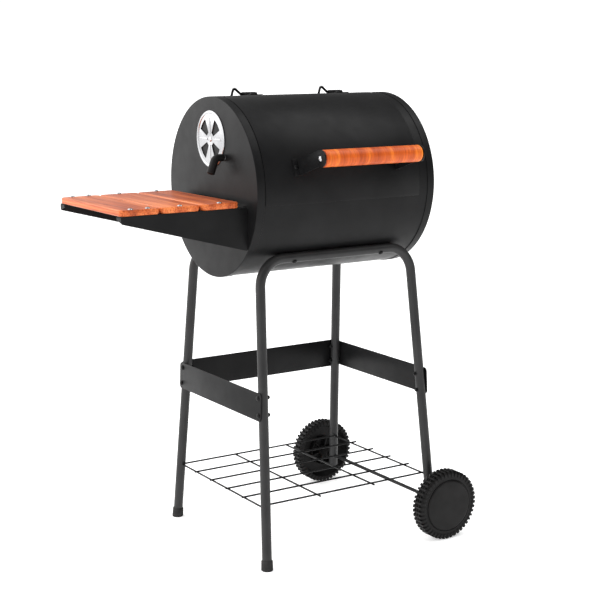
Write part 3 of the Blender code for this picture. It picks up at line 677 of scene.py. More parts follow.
def grown(name, tree, values, host=None):
    holder = newHolder(name, host or bpy.data.meshes.new(name))
    modifier = holder.modifiers.new("grow", "NODES")
    modifier.node_group = tree
    for item in tree.interface.items_tree:
        if item.item_type == "SOCKET" and item.in_out == "INPUT" and item.name in values:
            modifier[item.identifier] = values[item.name]
    mesh = flatten(holder)
    bpy.data.objects.remove(holder)
    return mesh


def joined(*meshes):
    bm = bmesh.new()
    for mesh in meshes:
        bm.from_mesh(mesh)
    result = bpy.data.meshes.new("joined")
    bm.to_mesh(result)
    bm.free()
    return result


barRowTree = makeBarRowTree()
ringTree = makeRingTree()
fastenerTree = makeFastenerTree()


def fastened(name, shape, seats, slotName, stands=(), body=None):  # seats: (place, direction of the crown)
    host = bpy.data.meshes.new(name)
    host.from_pydata([place for place, towards in seats], [], [])
    directions = host.attributes.new("towards", "FLOAT_VECTOR", "POINT")
    directions.data.foreach_set("vector", [value for place, towards in seats for value in towards])
    source = newHolder("source", meshOf("source", shape))
    mesh = grown(name, fastenerTree, {"Shape": source, "Material": finishes[slotName]}, host)
    bpy.data.objects.remove(source)
    return placed(name, mesh, slotName, stands, body)


bolts = {  # head radius and height, shank radius and length, and how far the nut is from the head's seat
    "handle": (0.0056, 0.0034, 0.0025, 0.0300),
    "hinge": (0.0046, 0.0031, 0.0020, 0.0075, 0.0037),
    "rearBrace": (0.0056, 0.0034, 0.0025, 0.0060),
    "stand": (0.0056, 0.0034, 0.0025, 0.0290, 0.0232),
    "bracket": (0.0048, 0.0028, 0.0024, 0.0100, 0.0030),
    "nutHeight": 0.0038,
    "nutEase": 0.0006,
}


def boltShape(headRadius, head, shank, length, nutAt=0.0, sides=20):  # seat at 0, crown along +Z
    angles = [math.radians(degrees) for degrees in (80, 60, 40, 20)]
    crown = [(head * math.sin(angle), headRadius * math.cos(angle)) for angle in angles]
    sections = [(head, 0.0), *crown, (head * 0.12, headRadius), (0.0, headRadius * 0.97), (0.0, shank),
                (-length + shank * 0.4, shank), (-length, shank * 0.6), (-length, 0.0)]
    shapes = [turned(sections, sides, "Z")]
    if nutAt:
        ease = bolts["nutEase"]
        corner = shank * 1.75
        end = -nutAt - bolts["nutHeight"]
        nut = [(end, shank * 0.9), (end, corner * 0.86), (end + ease, corner),
               (-nutAt - ease, corner), (-nutAt, corner * 0.86), (-nutAt, shank * 0.9)]
        shapes.append(turned(nut, 6, "Z"))
    return combined(*shapes)


print("shapes and node trees ready")


# Drum

drum = {
    "shellRadius": 0.1900,
    "capRadius": 0.1914,
    "steel": 0.0010,
    "windowLow": -2.5,  # degrees
    "windowHigh": 97.5,
    "lidLap": 0.012,
    "capFlange": 0.0180,
    "rimRound": 0.0017,
    "step": 2.5,
}


def makeShell():
    edge = drumEnd - drum["steel"] - gap
    lidLow, lidHigh = spot("lid_panel")
    stops = [-edge, lidLow.x + drum["lidLap"], lidHigh.x - drum["lidLap"], edge]
    angles = arcAngles(drum["windowLow"], drum["windowLow"] + 360, drum["step"])[:-1]
    bm = bmesh.new()
    rings = []
    for degrees in angles:
        spoke = Vector((0, 0, drumHeight)) + onCircle(drum["shellRadius"], degrees)
        rings.append([bm.verts.new(spoke + Vector((x, 0, 0))) for x in stops])
    for k, degrees in enumerate(angles):
        after = rings[(k + 1) % len(rings)]
        for n in range(3):
            if n == 1 and degrees < drum["windowHigh"] - drum["step"] / 2:
                continue
            bm.faces.new([rings[k][n], rings[k][n + 1], after[n + 1], after[n]])
    holder = newHolder("shell", meshOf("shell", bm, keepNormals=True))
    wall = holder.modifiers.new("wall", "SOLIDIFY")
    wall.thickness = drum["steel"]
    wall.offset = -1
    wall.use_even_offset = True
    mesh = flatten(holder)
    bpy.data.objects.remove(holder)
    placed("drumShell", mesh, "black_paint", ["barrel_shell"])


def capMesh(side):
    radius = drum["capRadius"]
    steel = drum["steel"]
    rim = drum["rimRound"]
    section = [(drumEnd, 0.0)]
    section += cornerArc((drumEnd - rim, radius - rim), rim, 0, 90, 6)
    lip = drumEnd - drum["capFlange"]
    inner = rim - steel
    section += [(lip + 0.0003, radius), (lip, radius - 0.0003), (lip, radius - steel)]
    section += cornerArc((drumEnd - rim, radius - rim), inner, 90, 0, 4)
    section += [(drumEnd - steel, 0.0)]
    return meshOf("cap", turned([(side * x, r) for x, r in section], 144, "X", (0, 0, drumHeight)))


def ventShapes(turn, spare, centre):
    inner = damper["ventIn"] - spare
    outer = damper["ventOut"] + spare
    half = damper["ventSpan"] / 2
    reach = damper["cutReach"]
    shapes = []
    for quarter in range(4):
        middle = turn + 90 * quarter
        angles = arcAngles(middle - half, middle + half, 4)
        outline = [onCircle(outer, a) for a in angles]
        outline += [onCircle(inner, a) for a in reversed(angles)]
        points = [(point.y + centre.y, point.z + centre.z) for point in outline]
        shapes.append(extruded(points, centre.x - reach, centre.x + reach))
    return shapes


damper = {
    "radius": 0.0600,
    "ventIn": 0.0145,
    "ventOut": 0.0455,
    "ventSpan": 39.0,  # degrees
    "ventSpare": 0.001,  # the cap's holes are larger by this
    "cutReach": 0.01,
    "rivetHole": 0.0034,
    "ridgeWidth": 0.0040,
    "ridgeRise": 0.0011,
    "ridgeIn": 0.0110,
    "ridgeOut": 0.0465,
    "earRadius": 0.0066,
    "leverRoot": 0.0076,
    "leverWidth": 0.0086,
}


def makeDamper():
    rivetLow, rivetHigh = spot("damper_rivet")
    centre = Vector((-drumEnd, (rivetLow.y + rivetHigh.y) / 2, (rivetLow.z + rivetHigh.z) / 2))
    radius = damper["radius"]
    rises = [(0.0, 0.0032), (0.0, radius - 0.0004), (0.0005, radius), (0.0012, radius),
             (0.0022, radius - 0.0012), (0.0026, radius - 0.0028), (0.0026, radius - 0.0044),
             (0.0020, radius - 0.0056), (0.0010, radius - 0.0066), (0.0010, radius - 0.0088),
             (0.0018, radius - 0.0110), (0.0018, 0.0120), (0.0013, 0.0095), (0.0013, 0.0032)]
    plate = meshOf("plate", turned([(-gap - rise, r) for rise, r in rises], 100, "X", centre))
    plate = carved(plate, ventShapes(45, 0.0, centre))
    ridges = [ridgeShape(centre, 90 * quarter) for quarter in range(4)]
    leverMiddle = leverRoot(centre)
    reach = leverMiddle - centre
    ear = []
    for k in range(24):
        angle = math.tau * k / 24
        y = reach.y + damper["earRadius"] * math.cos(angle)
        z = reach.z + damper["earRadius"] * math.sin(angle)
        ear.append((centre.y + y, centre.z + z))
    earShape = extruded(ear, centre.x - gap - 0.0020, centre.x - gap - 0.0002)
    mesh = joined(plate, eased(meshOf("ear", earShape), 0.0004), *ridges)
    placed("damperPlate", mesh, "chrome", ["damper_plate"])
    rivet = [(-0.0040, 0.0), (-0.0038, 0.0022), (-0.0030, 0.0044), (-0.0022, 0.0055),
             (-0.0017, 0.0058), (-0.0014, 0.0056), (-0.0014, 0.0028), (0.0013, 0.0028),
             (0.0013, 0.0050), (0.0026, 0.0038), (0.0030, 0.0)]
    placed("damperRivet", meshOf("rivet", turned(rivet, 28, "X", centre)), "zinc_steel", ["damper_rivet"])
    makeLever(leverMiddle)
    bore = damper["rivetHole"]
    end = damper["cutReach"]
    hole = turned([(-end, 0.0), (-end, bore), (end, bore), (end, 0.0)], 24, "X", centre)
    vents = ventShapes(0, damper["ventSpare"], centre)
    return [hole, *vents]


def ridgeShape(centre, degrees):
    half = damper["ridgeWidth"] / 2
    outline = roundedOutline((damper["ridgeIn"], -half), (damper["ridgeOut"], half), half - 0.0001, 6)
    low = centre.x - gap - 0.0015
    shape = extruded(outline, low - damper["ridgeRise"], low)
    turn = Matrix.Translation((0, centre.y, centre.z)) @ Matrix.Rotation(math.radians(degrees), 4, "X")
    bmesh.ops.transform(shape, matrix=turn, verts=shape.verts)
    return eased(meshOf("ridge", shape), 0.0008, 3)


def leverRoot(centre):
    low, high = spot("damper_lever")
    return Vector((centre.x, (low.y + high.y) / 2, high.z - 0.0058))


def makeLever(root):
    start = root + Vector((-gap - 0.0026, 0, 0))
    path = bentPath([start, start + Vector((-0.019, 0, 0)), start + Vector((-0.0305, 0, -0.0305))], 0.011, 12)
    count = len(path)
    slim = damper["leverRoot"]
    radii = [slim + (damper["leverWidth"] - slim) * (k / (count - 1)) ** 0.6 for k in range(count)]
    last = path[-1]
    ahead = (path[-1] - path[-2]).normalized()
    for along, share in ((0.0012, 0.96), (0.0022, 0.84), (0.0030, 0.62), (0.0034, 0.30)):
        path.append(last + ahead * along)
        radii.append(damper["leverWidth"] * share)
    shape = swept(path, radii, 28, (0, 0, 1))
    placed("damperLever", meshOf("lever", shape, 60), "black_plastic", ["damper_lever"], sharp=70)


makeShell()
ventCutters = makeDamper()
leftCap = carved(capMesh(-1), ventCutters)
placed("leftEndCap", leftCap, "black_paint", ["left_end_cap"])
placed("rightEndCap", capMesh(1), "black_paint", ["right_end_cap"])
print("drum and damper made")


# Lid, handle and hinges

lid = {
    "low": -7.5,  # degrees
    "high": 102.5,
    "steel": 0.0010,
    "armLow": 10.0,
    "armHigh": 20.5,
    "armThick": 0.0030,
    "footWide": 0.0140,
    "footThick": 0.0025,
    "gripRadius": 0.0175,
    "gripRound": 0.0040,
    "pinRadius": 0.0027,
    "pinRoute": ((-0.0185, 0.0), (-0.0370, 0.0150), (-0.0432, -0.0050)),  # x from the hinge's middle, and z
    "pinBend": 0.0045,
    "pinHead": 0.0044,
    "leaf": 0.0016,
    "leafWide": 0.033,
    "drumLeaf": (18.0, 28.0),  # degrees behind the top
    "lidLeaf": (11.5, 5.0),
    "knuckleWide": 0.011,
    "knuckleRadius": 0.0052,
    "pinBore": 0.0034,
    "notch": 0.0070,
}


def makeLidPanel():
    low, high = spot("lid_panel")
    radius = drum["capRadius"]
    centre = (0, 0, drumHeight)
    shape = curvedSheet(low.x, high.x, radius - lid["steel"], radius, lid["low"], lid["high"], 1.25, centre)
    placed("lidPanel", eased(meshOf("lid", shape), 0.0002), "black_paint", ["lid_panel"])


def makeHandle():
    low, high = spot("handle_grip")
    middle = (low + high) / 2
    half = (high.x - low.x) / 2
    radius = lid["gripRadius"]
    rounding = lid["gripRound"]
    start = cornerArc((-half + rounding, radius - rounding), rounding, 180, 90, 6)
    end = cornerArc((half - rounding, radius - rounding), rounding, 90, 0, 6)
    shape = turned([(-half, 0.0), *start, *end, (half, 0.0)], 48, "X", middle)
    placed("handleGrip", meshOf("grip", shape), "grip_wood", ["handle_grip"])
    covered = drum["capRadius"]
    centre = Vector((0, 0, drumHeight))
    for name, side in (("left", -1), ("right", 1)):
        inner = half + gap
        root = [centre + onCircle(covered + gap, a) for a in arcAngles(lid["armLow"], lid["armHigh"], 1.5)]
        outline = [(point.y, point.z) for point in root]
        outline += cornerArc((middle.y, middle.z), radius, 82, 292, 26)
        arm = meshOf("arm", extruded(outline, *sorted((side * inner, side * (inner + lid["armThick"])))))
        foot = sorted((side * (inner + 0.001), side * (inner + lid["footWide"])))
        outer = covered + gap + lid["footThick"]
        flange = curvedSheet(*foot, covered + gap, outer, lid["armLow"], lid["armHigh"], 1.5, centre)
        mesh = eased(carved(arm, [flange], "UNION"), 0.0006)
        placed(f"{name}HandleArm", mesh, "black_paint", [f"{name}_handle_arm"])
    end = half + 2 * gap + lid["armThick"]
    seats = [(Vector((side * end, middle.y, middle.z)), (side, 0, 0)) for side in (-1, 1)]
    fastened("handleBolts", boltShape(*bolts["handle"]), seats, "zinc_steel",
             ["left_handle_bolt", "right_handle_bolt"])


def leafOutline(axis, radius, near, far, behind):

    def strip(degrees, reach):
        point = onCircle(reach, 90 + degrees)
        return (point.y, point.z + drumHeight)

    low = [strip(far + (near - far) * k / 4, radius + gap) for k in range(5)]
    topNear = near + behind * 2.5
    top = [strip(topNear + (far - topNear) * k / 4, radius + gap + lid["leaf"]) for k in range(5)]
    knuckle = []
    for k in range(21):
        angle = math.radians(-90 + behind * (-20 - 13 * k))
        y = axis.y + lid["knuckleRadius"] * math.cos(angle)
        z = axis.z + lid["knuckleRadius"] * math.sin(angle)
        knuckle.append((y, z))
    return low + knuckle + top


def makeHinges():
    joint = next(row for row in frame["joints"] if row["name"] == "lid_hinge")
    axis = Vector(joint["pos_m"]) - drumMiddle
    half = lid["leafWide"] / 2
    knuckle = lid["knuckleWide"] / 2
    notch = lid["notch"]
    for name in ("left", "right"):
        middle = middleOf(f"{name}_hinge_drum_leaf").x
        bore = turned([(-0.03, 0.0), (-0.03, lid["pinBore"]), (0.03, lid["pinBore"]), (0.03, 0.0)], 24, "X",
                      (middle, axis.y, axis.z))
        boreAgain = bore.copy()
        outline = leafOutline(axis, drum["shellRadius"], *lid["drumLeaf"], 1)
        leaf = meshOf("leaf", extruded(outline, middle - half, middle + half))
        gapLow = (middle - knuckle - 0.0004, axis.y - 0.01, axis.z - 0.02)
        gapHigh = (middle + knuckle + 0.0004, axis.y + notch, axis.z + 0.02)
        leaf = carved(leaf, [boxShape(gapLow, gapHigh), bore])
        placed(f"{name}HingeDrumLeaf", eased(leaf, 0.0003), "black_paint", [f"{name}_hinge_drum_leaf"])
        outline = leafOutline(axis, drum["capRadius"], *lid["lidLeaf"], -1)
        leaf = meshOf("leaf", extruded(outline, middle - half, middle + half))
        cutters = []
        for side in (-1, 1):
            stops = sorted((middle + side * knuckle, middle + side * (half + 0.01)))
            low = (stops[0], axis.y - notch, axis.z - 0.02)
            high = (stops[1], axis.y + 0.01, axis.z + 0.02)
            cutters.append(boxShape(low, high))
        leaf = carved(leaf, [*cutters, boreAgain])
        placed(f"{name}HingeLidLeaf", eased(leaf, 0.0003), "black_paint", [f"{name}_hinge_lid_leaf"])
        makePin(name, Vector((middle, axis.y, axis.z)))


def makePin(name, middle):
    end = lid["leafWide"] / 2 + 0.002
    route = [middle + Vector((end, 0, 0))] + [middle + Vector((x, 0, z)) for x, z in lid["pinRoute"]]
    path = bentPath(route, lid["pinBend"], 10)
    radii = [lid["pinRadius"]] * len(path)
    head = lid["pinHead"]
    path = [route[0] + Vector((x, 0, 0)) for x in (0.0022, 0.0016, 0.0002, 0.0001)] + path[1:]
    radii = [head * 0.72, head, head, lid["pinRadius"]] + radii[1:]
    pin = swept(path, radii, 20, (0, 1, 0))
    mesh = eased(meshOf("pin", pin, 50), 0.0004)
    placed(f"{name}HingePin", mesh, "black_paint", [f"{name}_hinge_pin"], sharp=50)


def makeLeafBolts():
    lidSeats = []
    drumSeats = []
    for name in ("left", "right"):
        middle = middleOf(f"{name}_hinge_drum_leaf").x
        for seats, degrees, reach, x in ((lidSeats, 8.0, drum["capRadius"], -0.0065),
                                         (drumSeats, 24.6, drum["shellRadius"], 0.0)):
            out = onCircle(1.0, 90 + degrees)
            place = Vector((middle + x, 0, drumHeight)) + out * (reach + gap + lid["leaf"])
            seats.append((place, out))
        side = -1 if name == "left" else 1
        out = onCircle(1.0, (lid["armLow"] + lid["armHigh"]) / 2)
        edge = spot(f"{name}_handle_arm")[0 if side < 0 else 1].x
        reach = drum["capRadius"] + gap + lid["footThick"]
        lidSeats.append((Vector((edge - side * 0.0052, 0, drumHeight)) + out * reach, out))
    fastened("lidBolts", boltShape(*bolts["hinge"]), lidSeats, "black_paint", (), "lid")
    fastened("hingeDrumBolts", boltShape(*bolts["hinge"]), drumSeats, "black_paint", (), "drum_and_stand")


makeLidPanel()
makeHandle()
makeHinges()
makeLeafBolts()
print("lid, handle and hinges made")


# Stand

stand = {
    "tubeRadius": 0.0105,
    "tubeBore": 0.0093,
    "bend": 0.058,
    "footX": 0.2188,
    "topX": 0.1911,
    "footY": 0.2049,
    "tubeSides": 32,
    "brace": 0.0015,
    "sideBrace": (0.3148, 0.3748),  # low and high edge
    "rearBrace": (0.3090, 0.3770),
    "braceBoltZ": (0.3636, 0.3270),
    "footRadius": 0.0128,
    "drumBoltX": 0.1105,
    "footEnd": 0.0048,  # height of the tube's end inside the foot
    "plugEnd": 0.0540,  # height of the tube's end by the axle
}

runReach = drum["shellRadius"] + stand["tubeRadius"] + 0.0004
runY = runReach * math.sin(math.radians(45))
runZ = drumHeight - runY
leanX = (stand["footX"] - stand["topX"]) / runZ
leanY = (stand["footY"] - runY) / runZ


def legPoint(sideX, sideY, height):
    x = sideX * (stand["footX"] - leanX * height)
    y = sideY * (stand["footY"] - leanY * height)
    return Vector((x, y, height))


def footShape(low, high, plane):
    along = (high - low).normalized()
    floorPoint = low - along * (low.z / along.z)
    across = along.cross(plane)
    sides = stand["tubeSides"]
    bm = bmesh.new()

    def ring(distance, radius, level):
        made = []
        for k in range(sides):
            angle = math.tau * k / sides
            spoke = plane * math.cos(angle) + across * math.sin(angle)
            point = floorPoint + along * distance + radius * spoke
            if level:
                point -= along * ((point.z - level + 1e-9) / along.z)
            made.append(bm.verts.new(point))
        return made

    wide = stand["footRadius"]
    inner = stand["tubeRadius"] + gap
    rings = [ring(0, wide - 0.0010, 1e-9), ring(0, wide, 0.0012), ring(0.0190, wide - 0.0004, 0.0),
             ring(0.0208, wide - 0.0007, 0.0), ring(0.0218, wide - 0.0014, 0.0), ring(0.0218, inner, 0.0),
             ring(0.0045, inner, 0.0)]
    bridge(bm, rings)
    bm.faces.new(rings[0])
    bm.faces.new(rings[-1])
    return bm


def makeLegs():
    boltSeats = []
    for name, side in (("front", -1), ("rear", 1)):
        corners = [legPoint(-1, side, stand["footEnd"]), legPoint(-1, side, runZ),
                   legPoint(1, side, runZ), legPoint(1, side, stand["plugEnd"])]
        path = bentPath(corners, stand["bend"], 20)
        plane = (corners[1] - corners[0]).cross(corners[2] - corners[1]).normalized()
        tube = swept(path, stand["tubeRadius"], stand["tubeSides"], plane, stand["tubeBore"])
        piece = placed(f"{name}LegFrame", meshOf("tube", tube), "black_paint", [f"{name}_leg_frame"])
        # the leg tubes get the lighter copy of the black paint: painted light standing in for the light they catch
        piece.data.materials[0] = paintedLightTubePaint
        foot = footShape(corners[0], corners[1], plane)
        placed(f"{name}Foot", meshOf("foot", foot), "black_rubber", [f"{name}_foot"])
        along = (corners[2] - corners[3]).normalized()
        plugPath = [corners[3] + along * step for step in (-0.0016, -0.0003, -0.0002, 0.012)]
        plug = swept(plugPath, [0.0092, 0.0105, 0.0092, 0.0090], 32, plane)
        placed(f"{name}LegPlug", meshOf("plug", plug), "black_plastic", (), "drum_and_stand")
        for x in (-stand["drumBoltX"], stand["drumBoltX"]):
            inwards = Vector((0, -side, 1)).normalized()
            seat = Vector((x, side * runY, runZ)) - inwards * (stand["tubeRadius"] + gap)
            boltSeats.append((seat, -inwards))
    return boltSeats


def makeBraces():
    low, high = spot("rear_brace")
    middle = sum(stand["sideBrace"]) / 2
    halfHeight = (stand["sideBrace"][1] - stand["sideBrace"][0]) / 2
    halfLength = stand["footY"] - leanY * middle + stand["tubeRadius"]
    seats = []
    for name, hand in (("left", -1), ("right", 1)):
        normal = Vector((hand, 0, leanX)).normalized()
        leg = legPoint(hand, 1, middle)
        centre = Vector((leg.x, 0, middle)) + normal * (stand["tubeRadius"] + gap)
        outline = roundedOutline((-halfLength, -halfHeight), (halfLength, halfHeight), 0.008)
        shape = extruded(outline, *sorted((0.0, hand * stand["brace"])))
        lean = Matrix.Translation(centre) @ Matrix.Rotation(-hand * math.atan(leanX), 4, "Y")
        bmesh.ops.transform(shape, matrix=lean, verts=shape.verts)
        placed(f"{name}Brace", eased(meshOf("brace", shape), 0.0004), "black_paint", [f"{name}_brace"])
        for side in (-1, 1):
            for height in stand["braceBoltZ"]:
                hole = legPoint(hand, side, height)
                seats.append((hole + normal * (stand["tubeRadius"] + stand["brace"] + 2 * gap), normal))
    normal = Vector((0, 1, leanY)).normalized()
    middle = sum(stand["rearBrace"]) / 2
    halfHeight = (stand["rearBrace"][1] - stand["rearBrace"][0]) / 2
    leg = legPoint(1, 1, middle)
    centre = Vector((0, leg.y, middle)) + normal * (stand["tubeRadius"] + gap)
    halfLength = (high.x - low.x) / 2
    outline = roundedOutline((-halfLength, -halfHeight), (halfLength, halfHeight), 0.008)
    shape = extruded(outline, 0.0, stand["brace"], "Y")
    lean = Matrix.Translation(centre) @ Matrix.Rotation(math.atan(leanY), 4, "X")
    bmesh.ops.transform(shape, matrix=lean, verts=shape.verts)
    placed("rearBrace", eased(meshOf("brace", shape), 0.0004), "black_paint", ["rear_brace"])
    rearSeats = []
    for hand in (-1, 1):
        for height in stand["braceBoltZ"]:
            hole = legPoint(hand, 1, height)
            rearSeats.append((hole + normal * (stand["tubeRadius"] + stand["brace"] + gap), normal))
    fastened("rearBraceBolts", boltShape(*bolts["rearBrace"]), rearSeats, "black_paint", (), "drum_and_stand")
    return seats


standBolts = makeLegs() + makeBraces()
boltNodes = [node for node in frame["nodes"] if node.endswith("drum_bolt") or node.endswith("brace_bolt")]
fastened("standBolts", boltShape(*bolts["stand"]), standBolts, "black_paint", boltNodes)
print("stand made")


# Bottom rack

rack = {
    "wireRadius": 0.0020,
    "longWires": 6,
    "crossWires": 4,
    "overhang": 0.009,
    "crossDrop": 0.0034,
    "sides": 12,
}


def barRow(count, first, last, halfBar, radius, slotName):
    first = Vector(first)
    step = (Vector(last) - first) / (count - 1)
    values = {"Count": count, "First": first, "Step": step, "Half bar": halfBar, "Radius": radius,
              "Sides": rack["sides"], "Material": finishes[slotName]}
    return grown("bars", barRowTree, values)


def makeRack():
    low, high = spot("bottom_rack")
    height = high.z - rack["wireRadius"]
    leg = legPoint(1, 1, height)
    halfY = leg.y - stand["tubeRadius"] - rack["wireRadius"] - 0.0007
    wire = rack["wireRadius"]
    inset = 2 * halfY / (rack["longWires"] - 1)
    crossStep = 2 * leg.x / (rack["crossWires"] - 1)
    dropped = height - rack["crossDrop"]
    reach = leg.x + rack["overhang"]
    longY = halfY - inset
    crossX = leg.x - crossStep
    rows = [
        (2, (0, -halfY, height), (0, halfY, height), (leg.x, 0, 0)),
        (rack["longWires"] - 2, (0, -longY, height), (0, longY, height), (reach, 0, 0)),
        (2, (-leg.x, 0, dropped), (leg.x, 0, dropped), (0, leg.y - 0.006, 0)),
        (rack["crossWires"] - 2, (-crossX, 0, dropped), (crossX, 0, dropped), (0, halfY + 0.005, 0)),
    ]
    bars = [barRow(*row, wire, "black_paint") for row in rows]
    placed("bottomRack", joined(*bars), "black_paint", ["bottom_rack"])


grates = {
    "rodRadius": 0.0020,
    "crossDrop": 0.0032,
    "cookingBars": 15,
    "charcoalBars": 11,
    "crossBars": 3,
}


def makeGrates():
    rod = grates["rodRadius"]
    for name, bars in (("cooking", grates["cookingBars"]), ("charcoal", grates["charcoalBars"])):
        low, high = spot(f"{name}_grate")
        height = high.z - rod
        halfX = (high.x - low.x) / 2
        crossHalf = (high.y - low.y) / 2
        halfY = crossHalf - 0.003
        across = halfX - 0.008
        dropped = height - grates["crossDrop"]
        rows = [
            barRow(bars, (0, -halfY, height), (0, halfY, height), (halfX, 0, 0), rod, "grate_steel"),
            barRow(grates["crossBars"], (-across, 0, dropped), (across, 0, dropped), (0, crossHalf, 0), rod,
                   "grate_steel"),
        ]
        placed(f"{name}Grate", joined(*rows), "grate_steel", [f"{name}_grate"])


makeRack()
makeGrates()
print("rack and grates made")


# Wheels

wheel = {
    "radius": 0.0780,
    "width": 0.0335,
    "treadDepth": 0.0044,
    "sidewall": 0.0014,  # how far the lugs stand out from it
    "lugs": 46,
    "lugFoot": 0.0650,
    "shoulderLug": (0.0072, 0.0062),  # across the tread, round it
    "barLug": 0.0046,  # round the tread, between the shoulders
    "treadRibs": (-0.0062, 0.0, 0.0062),  # from the tread's middle
    "treadRib": 0.0011,  # half its width
    "ribs": 6,
    "recess": 0.0200,
    "hubRing": 0.0340,
    "axleRadius": 0.0040,
    "axleBore": 0.0046,
    "capRadius": 0.0572,
    "capMiddle": 0.03085,  # from the wheel's inner side
    "ribHalf": 0.0009,
    "ribTurn": 0.26,
}


def lugShape(outline, width, shrink=0.0007):  # (across, radius, draw) outline, narrower where draw is 1
    bm = bmesh.new()
    rows = []
    for side in (-1, 1):
        rows.append([bm.verts.new((side * (width / 2 - shrink * draw), y, r)) for y, r, draw in outline])
    enclose(bm, rows)
    return bm


def ringOf(shape, count, centre, turn, slotName):
    source = newHolder("source", meshOf("source", shape))
    values = {"Count": count, "Centre": centre, "Axis": (0.0, 1.0, 0.0), "Turn": turn, "Shape": source,
              "Material": finishes[slotName]}
    mesh = grown("ring", ringTree, values)
    bpy.data.objects.remove(source)
    return mesh


def makeWheel(name, side):
    low, high = spot(f"{name}_wheel")
    inner = middleOf(f"{name}_hub_cap").y - side * wheel["capMiddle"]
    centre = Vector(((low.x + high.x) / 2, inner, (low.z + high.z) / 2))
    base = wheel["radius"] - wheel["treadDepth"]
    width = wheel["width"]
    wall = wheel["sidewall"]
    deep = wheel["recess"]
    foot = wheel["lugFoot"]
    section = [(-0.0235, wheel["axleBore"]), (-0.0235, 0.0108), (-0.0228, 0.0115), (deep - 0.001, 0.0125),
               (deep, 0.0135), (deep, 0.0590), (deep - 0.001, 0.0600), (wall - 0.0010, foot),
               (wall, foot + 0.0010), (wall, base - 0.0040)]
    section += cornerArc((wall + 0.0040, base - 0.0040), 0.0040, 180, 90, 5)
    section += cornerArc((width - wall - 0.0040, base - 0.0040), 0.0040, 90, 0, 5)
    section += [(width - wall, 0.0590), (width - wall - 0.0010, 0.0577), (0.0262, 0.0577),
                (0.0262, wheel["axleBore"])]
    body = meshOf("wheel", turned([(side * y, r) for y, r in section], 104, "Y", centre))
    ring = wheel["hubRing"]
    ringSection = [(deep + 0.0004, ring), (0.0075, ring + 0.0003), (0.0070, ring + 0.0008),
                   (0.0075, ring + 0.0016), (deep + 0.0004, ring + 0.0022)]
    ringWall = meshOf("ringWall", turned([(side * y, r) for y, r in ringSection], 72, "Y", centre))
    near, far = sorted((side * 0.0078, side * (deep + 0.0005)))
    rib = boxShape((-wheel["ribHalf"], near, 0.0112), (wheel["ribHalf"], far, ring + 0.0005))
    ribs = ringOf(rib, wheel["ribs"], centre, wheel["ribTurn"], "black_plastic")
    placed(f"{name}Wheel", joined(body, ringWall, ribs), "black_plastic", [f"{name}_wheel"])
    makeTread(name, side, centre, base)
    cap = wheel["capRadius"]
    capSection = [(0.0, 0.0), (0.0, cap - 0.0008), (0.0008, cap), (0.0056, cap), (0.0068, cap - 0.0007),
                  (0.0076, cap - 0.0022), (0.0079, cap - 0.0050), (0.0083, 0.0400), (0.0085, 0.0200),
                  (0.0086, 0.0)]
    capCentre = centre + Vector((0, side * 0.0265, 0))
    cover = meshOf("hubCap", turned([(side * y, r) for y, r in capSection], 96, "Y", capCentre))
    placed(f"{name}HubCap", cover, "black_plastic", [f"{name}_hub_cap"])


def makeTread(name, side, centre, base):
    radius = wheel["radius"]
    width = wheel["width"]
    wall = wheel["sidewall"]
    foot = wheel["lugFoot"]
    count = wheel["lugs"]
    across, around = wheel["shoulderLug"]
    root = base - 0.0015
    outer = [(width - wall - 0.0010, foot, 1.3), (width - 0.0008, foot + 0.0004, 1.3),
             (width, foot + 0.0016, 1.3), (width, radius - 0.0056, 0.5), (width - 0.0030, radius - 0.0007, 0.8),
             (width - 0.0040, radius, 1), (width - across + 0.0005, radius, 1), (width - across, root, 0),
             (width - 0.0050, root, 0)]
    inner = [(width - y, r, draw) for y, r, draw in outer]
    half = width / 2 - across
    bar = [(width / 2 - half, root, 0), (width / 2 + half, root, 0), (width / 2 + half, radius - 0.0004, 1),
           (width / 2 - half, radius - 0.0004, 1)]
    parts = []
    for outline, wide in ((outer, around), (inner, around), (bar, wheel["barLug"])):
        shape = lugShape([(side * y, r, draw) for y, r, draw in outline], wide)
        parts.append(ringOf(shape, count, centre, 0.0, "black_plastic"))
    ribHalf = wheel["treadRib"]
    for offset in wheel["treadRibs"]:
        middle = width / 2 + offset
        section = [(middle - ribHalf, root), (middle - ribHalf + 0.0003, radius - 0.0006),
                   (middle + ribHalf - 0.0003, radius - 0.0006), (middle + ribHalf, root),
                   (middle, root - 0.0004)]
        parts.append(meshOf("rib", turned([(side * y, r) for y, r in section], 92, "Y", centre)))
    placed(f"{name}Tread", joined(*parts), "black_plastic", (), f"{name}_wheel_set", sharp=20)


def makeAxle():
    low, high = spot("axle")
    centre = (low + high) / 2
    reach = (high.y - low.y) / 2
    radius = wheel["axleRadius"]
    section = [(-reach, 0.0), (-reach, radius - 0.0008), (-reach + 0.0008, radius), (reach - 0.0008, radius),
               (reach, radius - 0.0008), (reach, 0.0)]
    placed("axleRod", meshOf("axle", turned(section, 28, "Y", centre)), "black_paint", ["axle"])


for wheelName, wheelSide in (("front", -1), ("rear", 1)):
    makeWheel(wheelName, wheelSide)
makeAxle()
print("wheels made")


# Side shelf

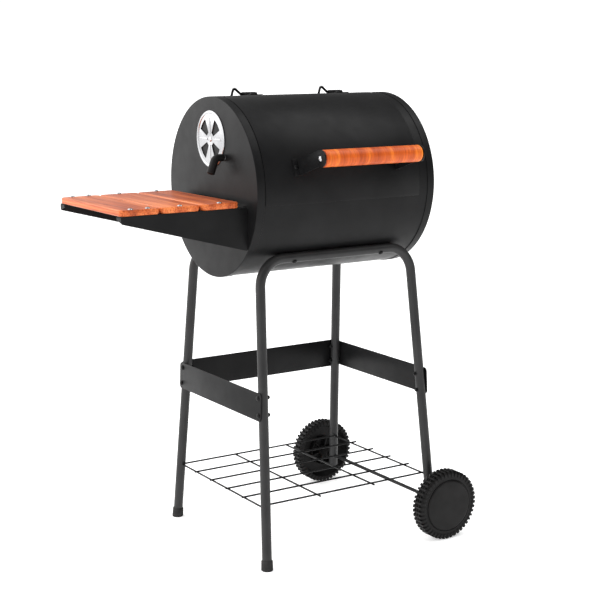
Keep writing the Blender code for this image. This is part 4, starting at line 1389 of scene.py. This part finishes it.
shelf = {
    "boardRound": 0.010,
    "boardEase": 0.0020,
    "screwHead": 0.0054,
    "screwRise": 0.0030,
    "screwY": 0.1430,
    "outerScrews": 0.0185,
    "bracketBoltZ": (0.744, 0.696),
}


def screwShape():
    bm = boltShape(shelf["screwHead"], shelf["screwRise"], 0.0021, 0.0160, 0.0, 24)
    mesh = meshOf("screw", bm)
    slots = []
    for wide, long in ((0.0004, 0.0024), (0.0024, 0.0004)):
        slots.append(boxShape((-wide, -long, 0.0018), (wide, long, 0.005)))
    mesh = carved(mesh, slots)
    bm = bmesh.new()
    bm.from_mesh(mesh)
    return bm


def makeShelf():
    seats = []
    for name in ("outer", "middle", "inner"):
        low, high = spot(f"{name}_shelf_board")
        outline = roundedOutline((low.x, low.y), (high.x, high.y), shelf["boardRound"], 10)
        board = meshOf("board", extruded(outline, low.z, high.z, "Z"))
        board = eased(board, shelf["boardEase"], 4, 50.0)
        placed(f"{name}ShelfBoard", board, "shelf_wood", [f"{name}_shelf_board"])
        middle = (low.x + high.x) / 2
        offsets = (-shelf["outerScrews"], shelf["outerScrews"]) if name == "outer" else (0.0,)
        for offset in offsets:
            for y in (-shelf["screwY"], shelf["screwY"]):
                seats.append((Vector((middle + offset, y, high.z)), (0, 0, 1)))
    screwNodes = [node for node in frame["nodes"] if "shelf_screw" in node]
    fastened("shelfScrews", screwShape(), seats, "chrome", screwNodes)
    bracketSeats = []
    for name, side in (("front", -1), ("rear", 1)):
        low, high = spot(f"{name}_shelf_bracket")
        edge = high.y if side < 0 else low.y
        for height in shelf["bracketBoltZ"]:
            place = Vector((high.x - 0.0015, edge + side * 0.0095, height))
            bracketSeats.append((place, (-1, 0, 0)))
    fastened("bracketBolts", boltShape(*bolts["bracket"]), bracketSeats, "black_paint", (), "drum_and_stand")


makeShelf()
print("shelf made")


# CAD pieces that stay as they are get the same finishes.

for node in ("front_shelf_bracket", "rear_shelf_bracket", "front_grate_rail", "rear_grate_rail"):
    kept = frame["nodes"][node]
    kept.data.materials.clear()
    kept.data.materials.append(finishes["black_paint"])
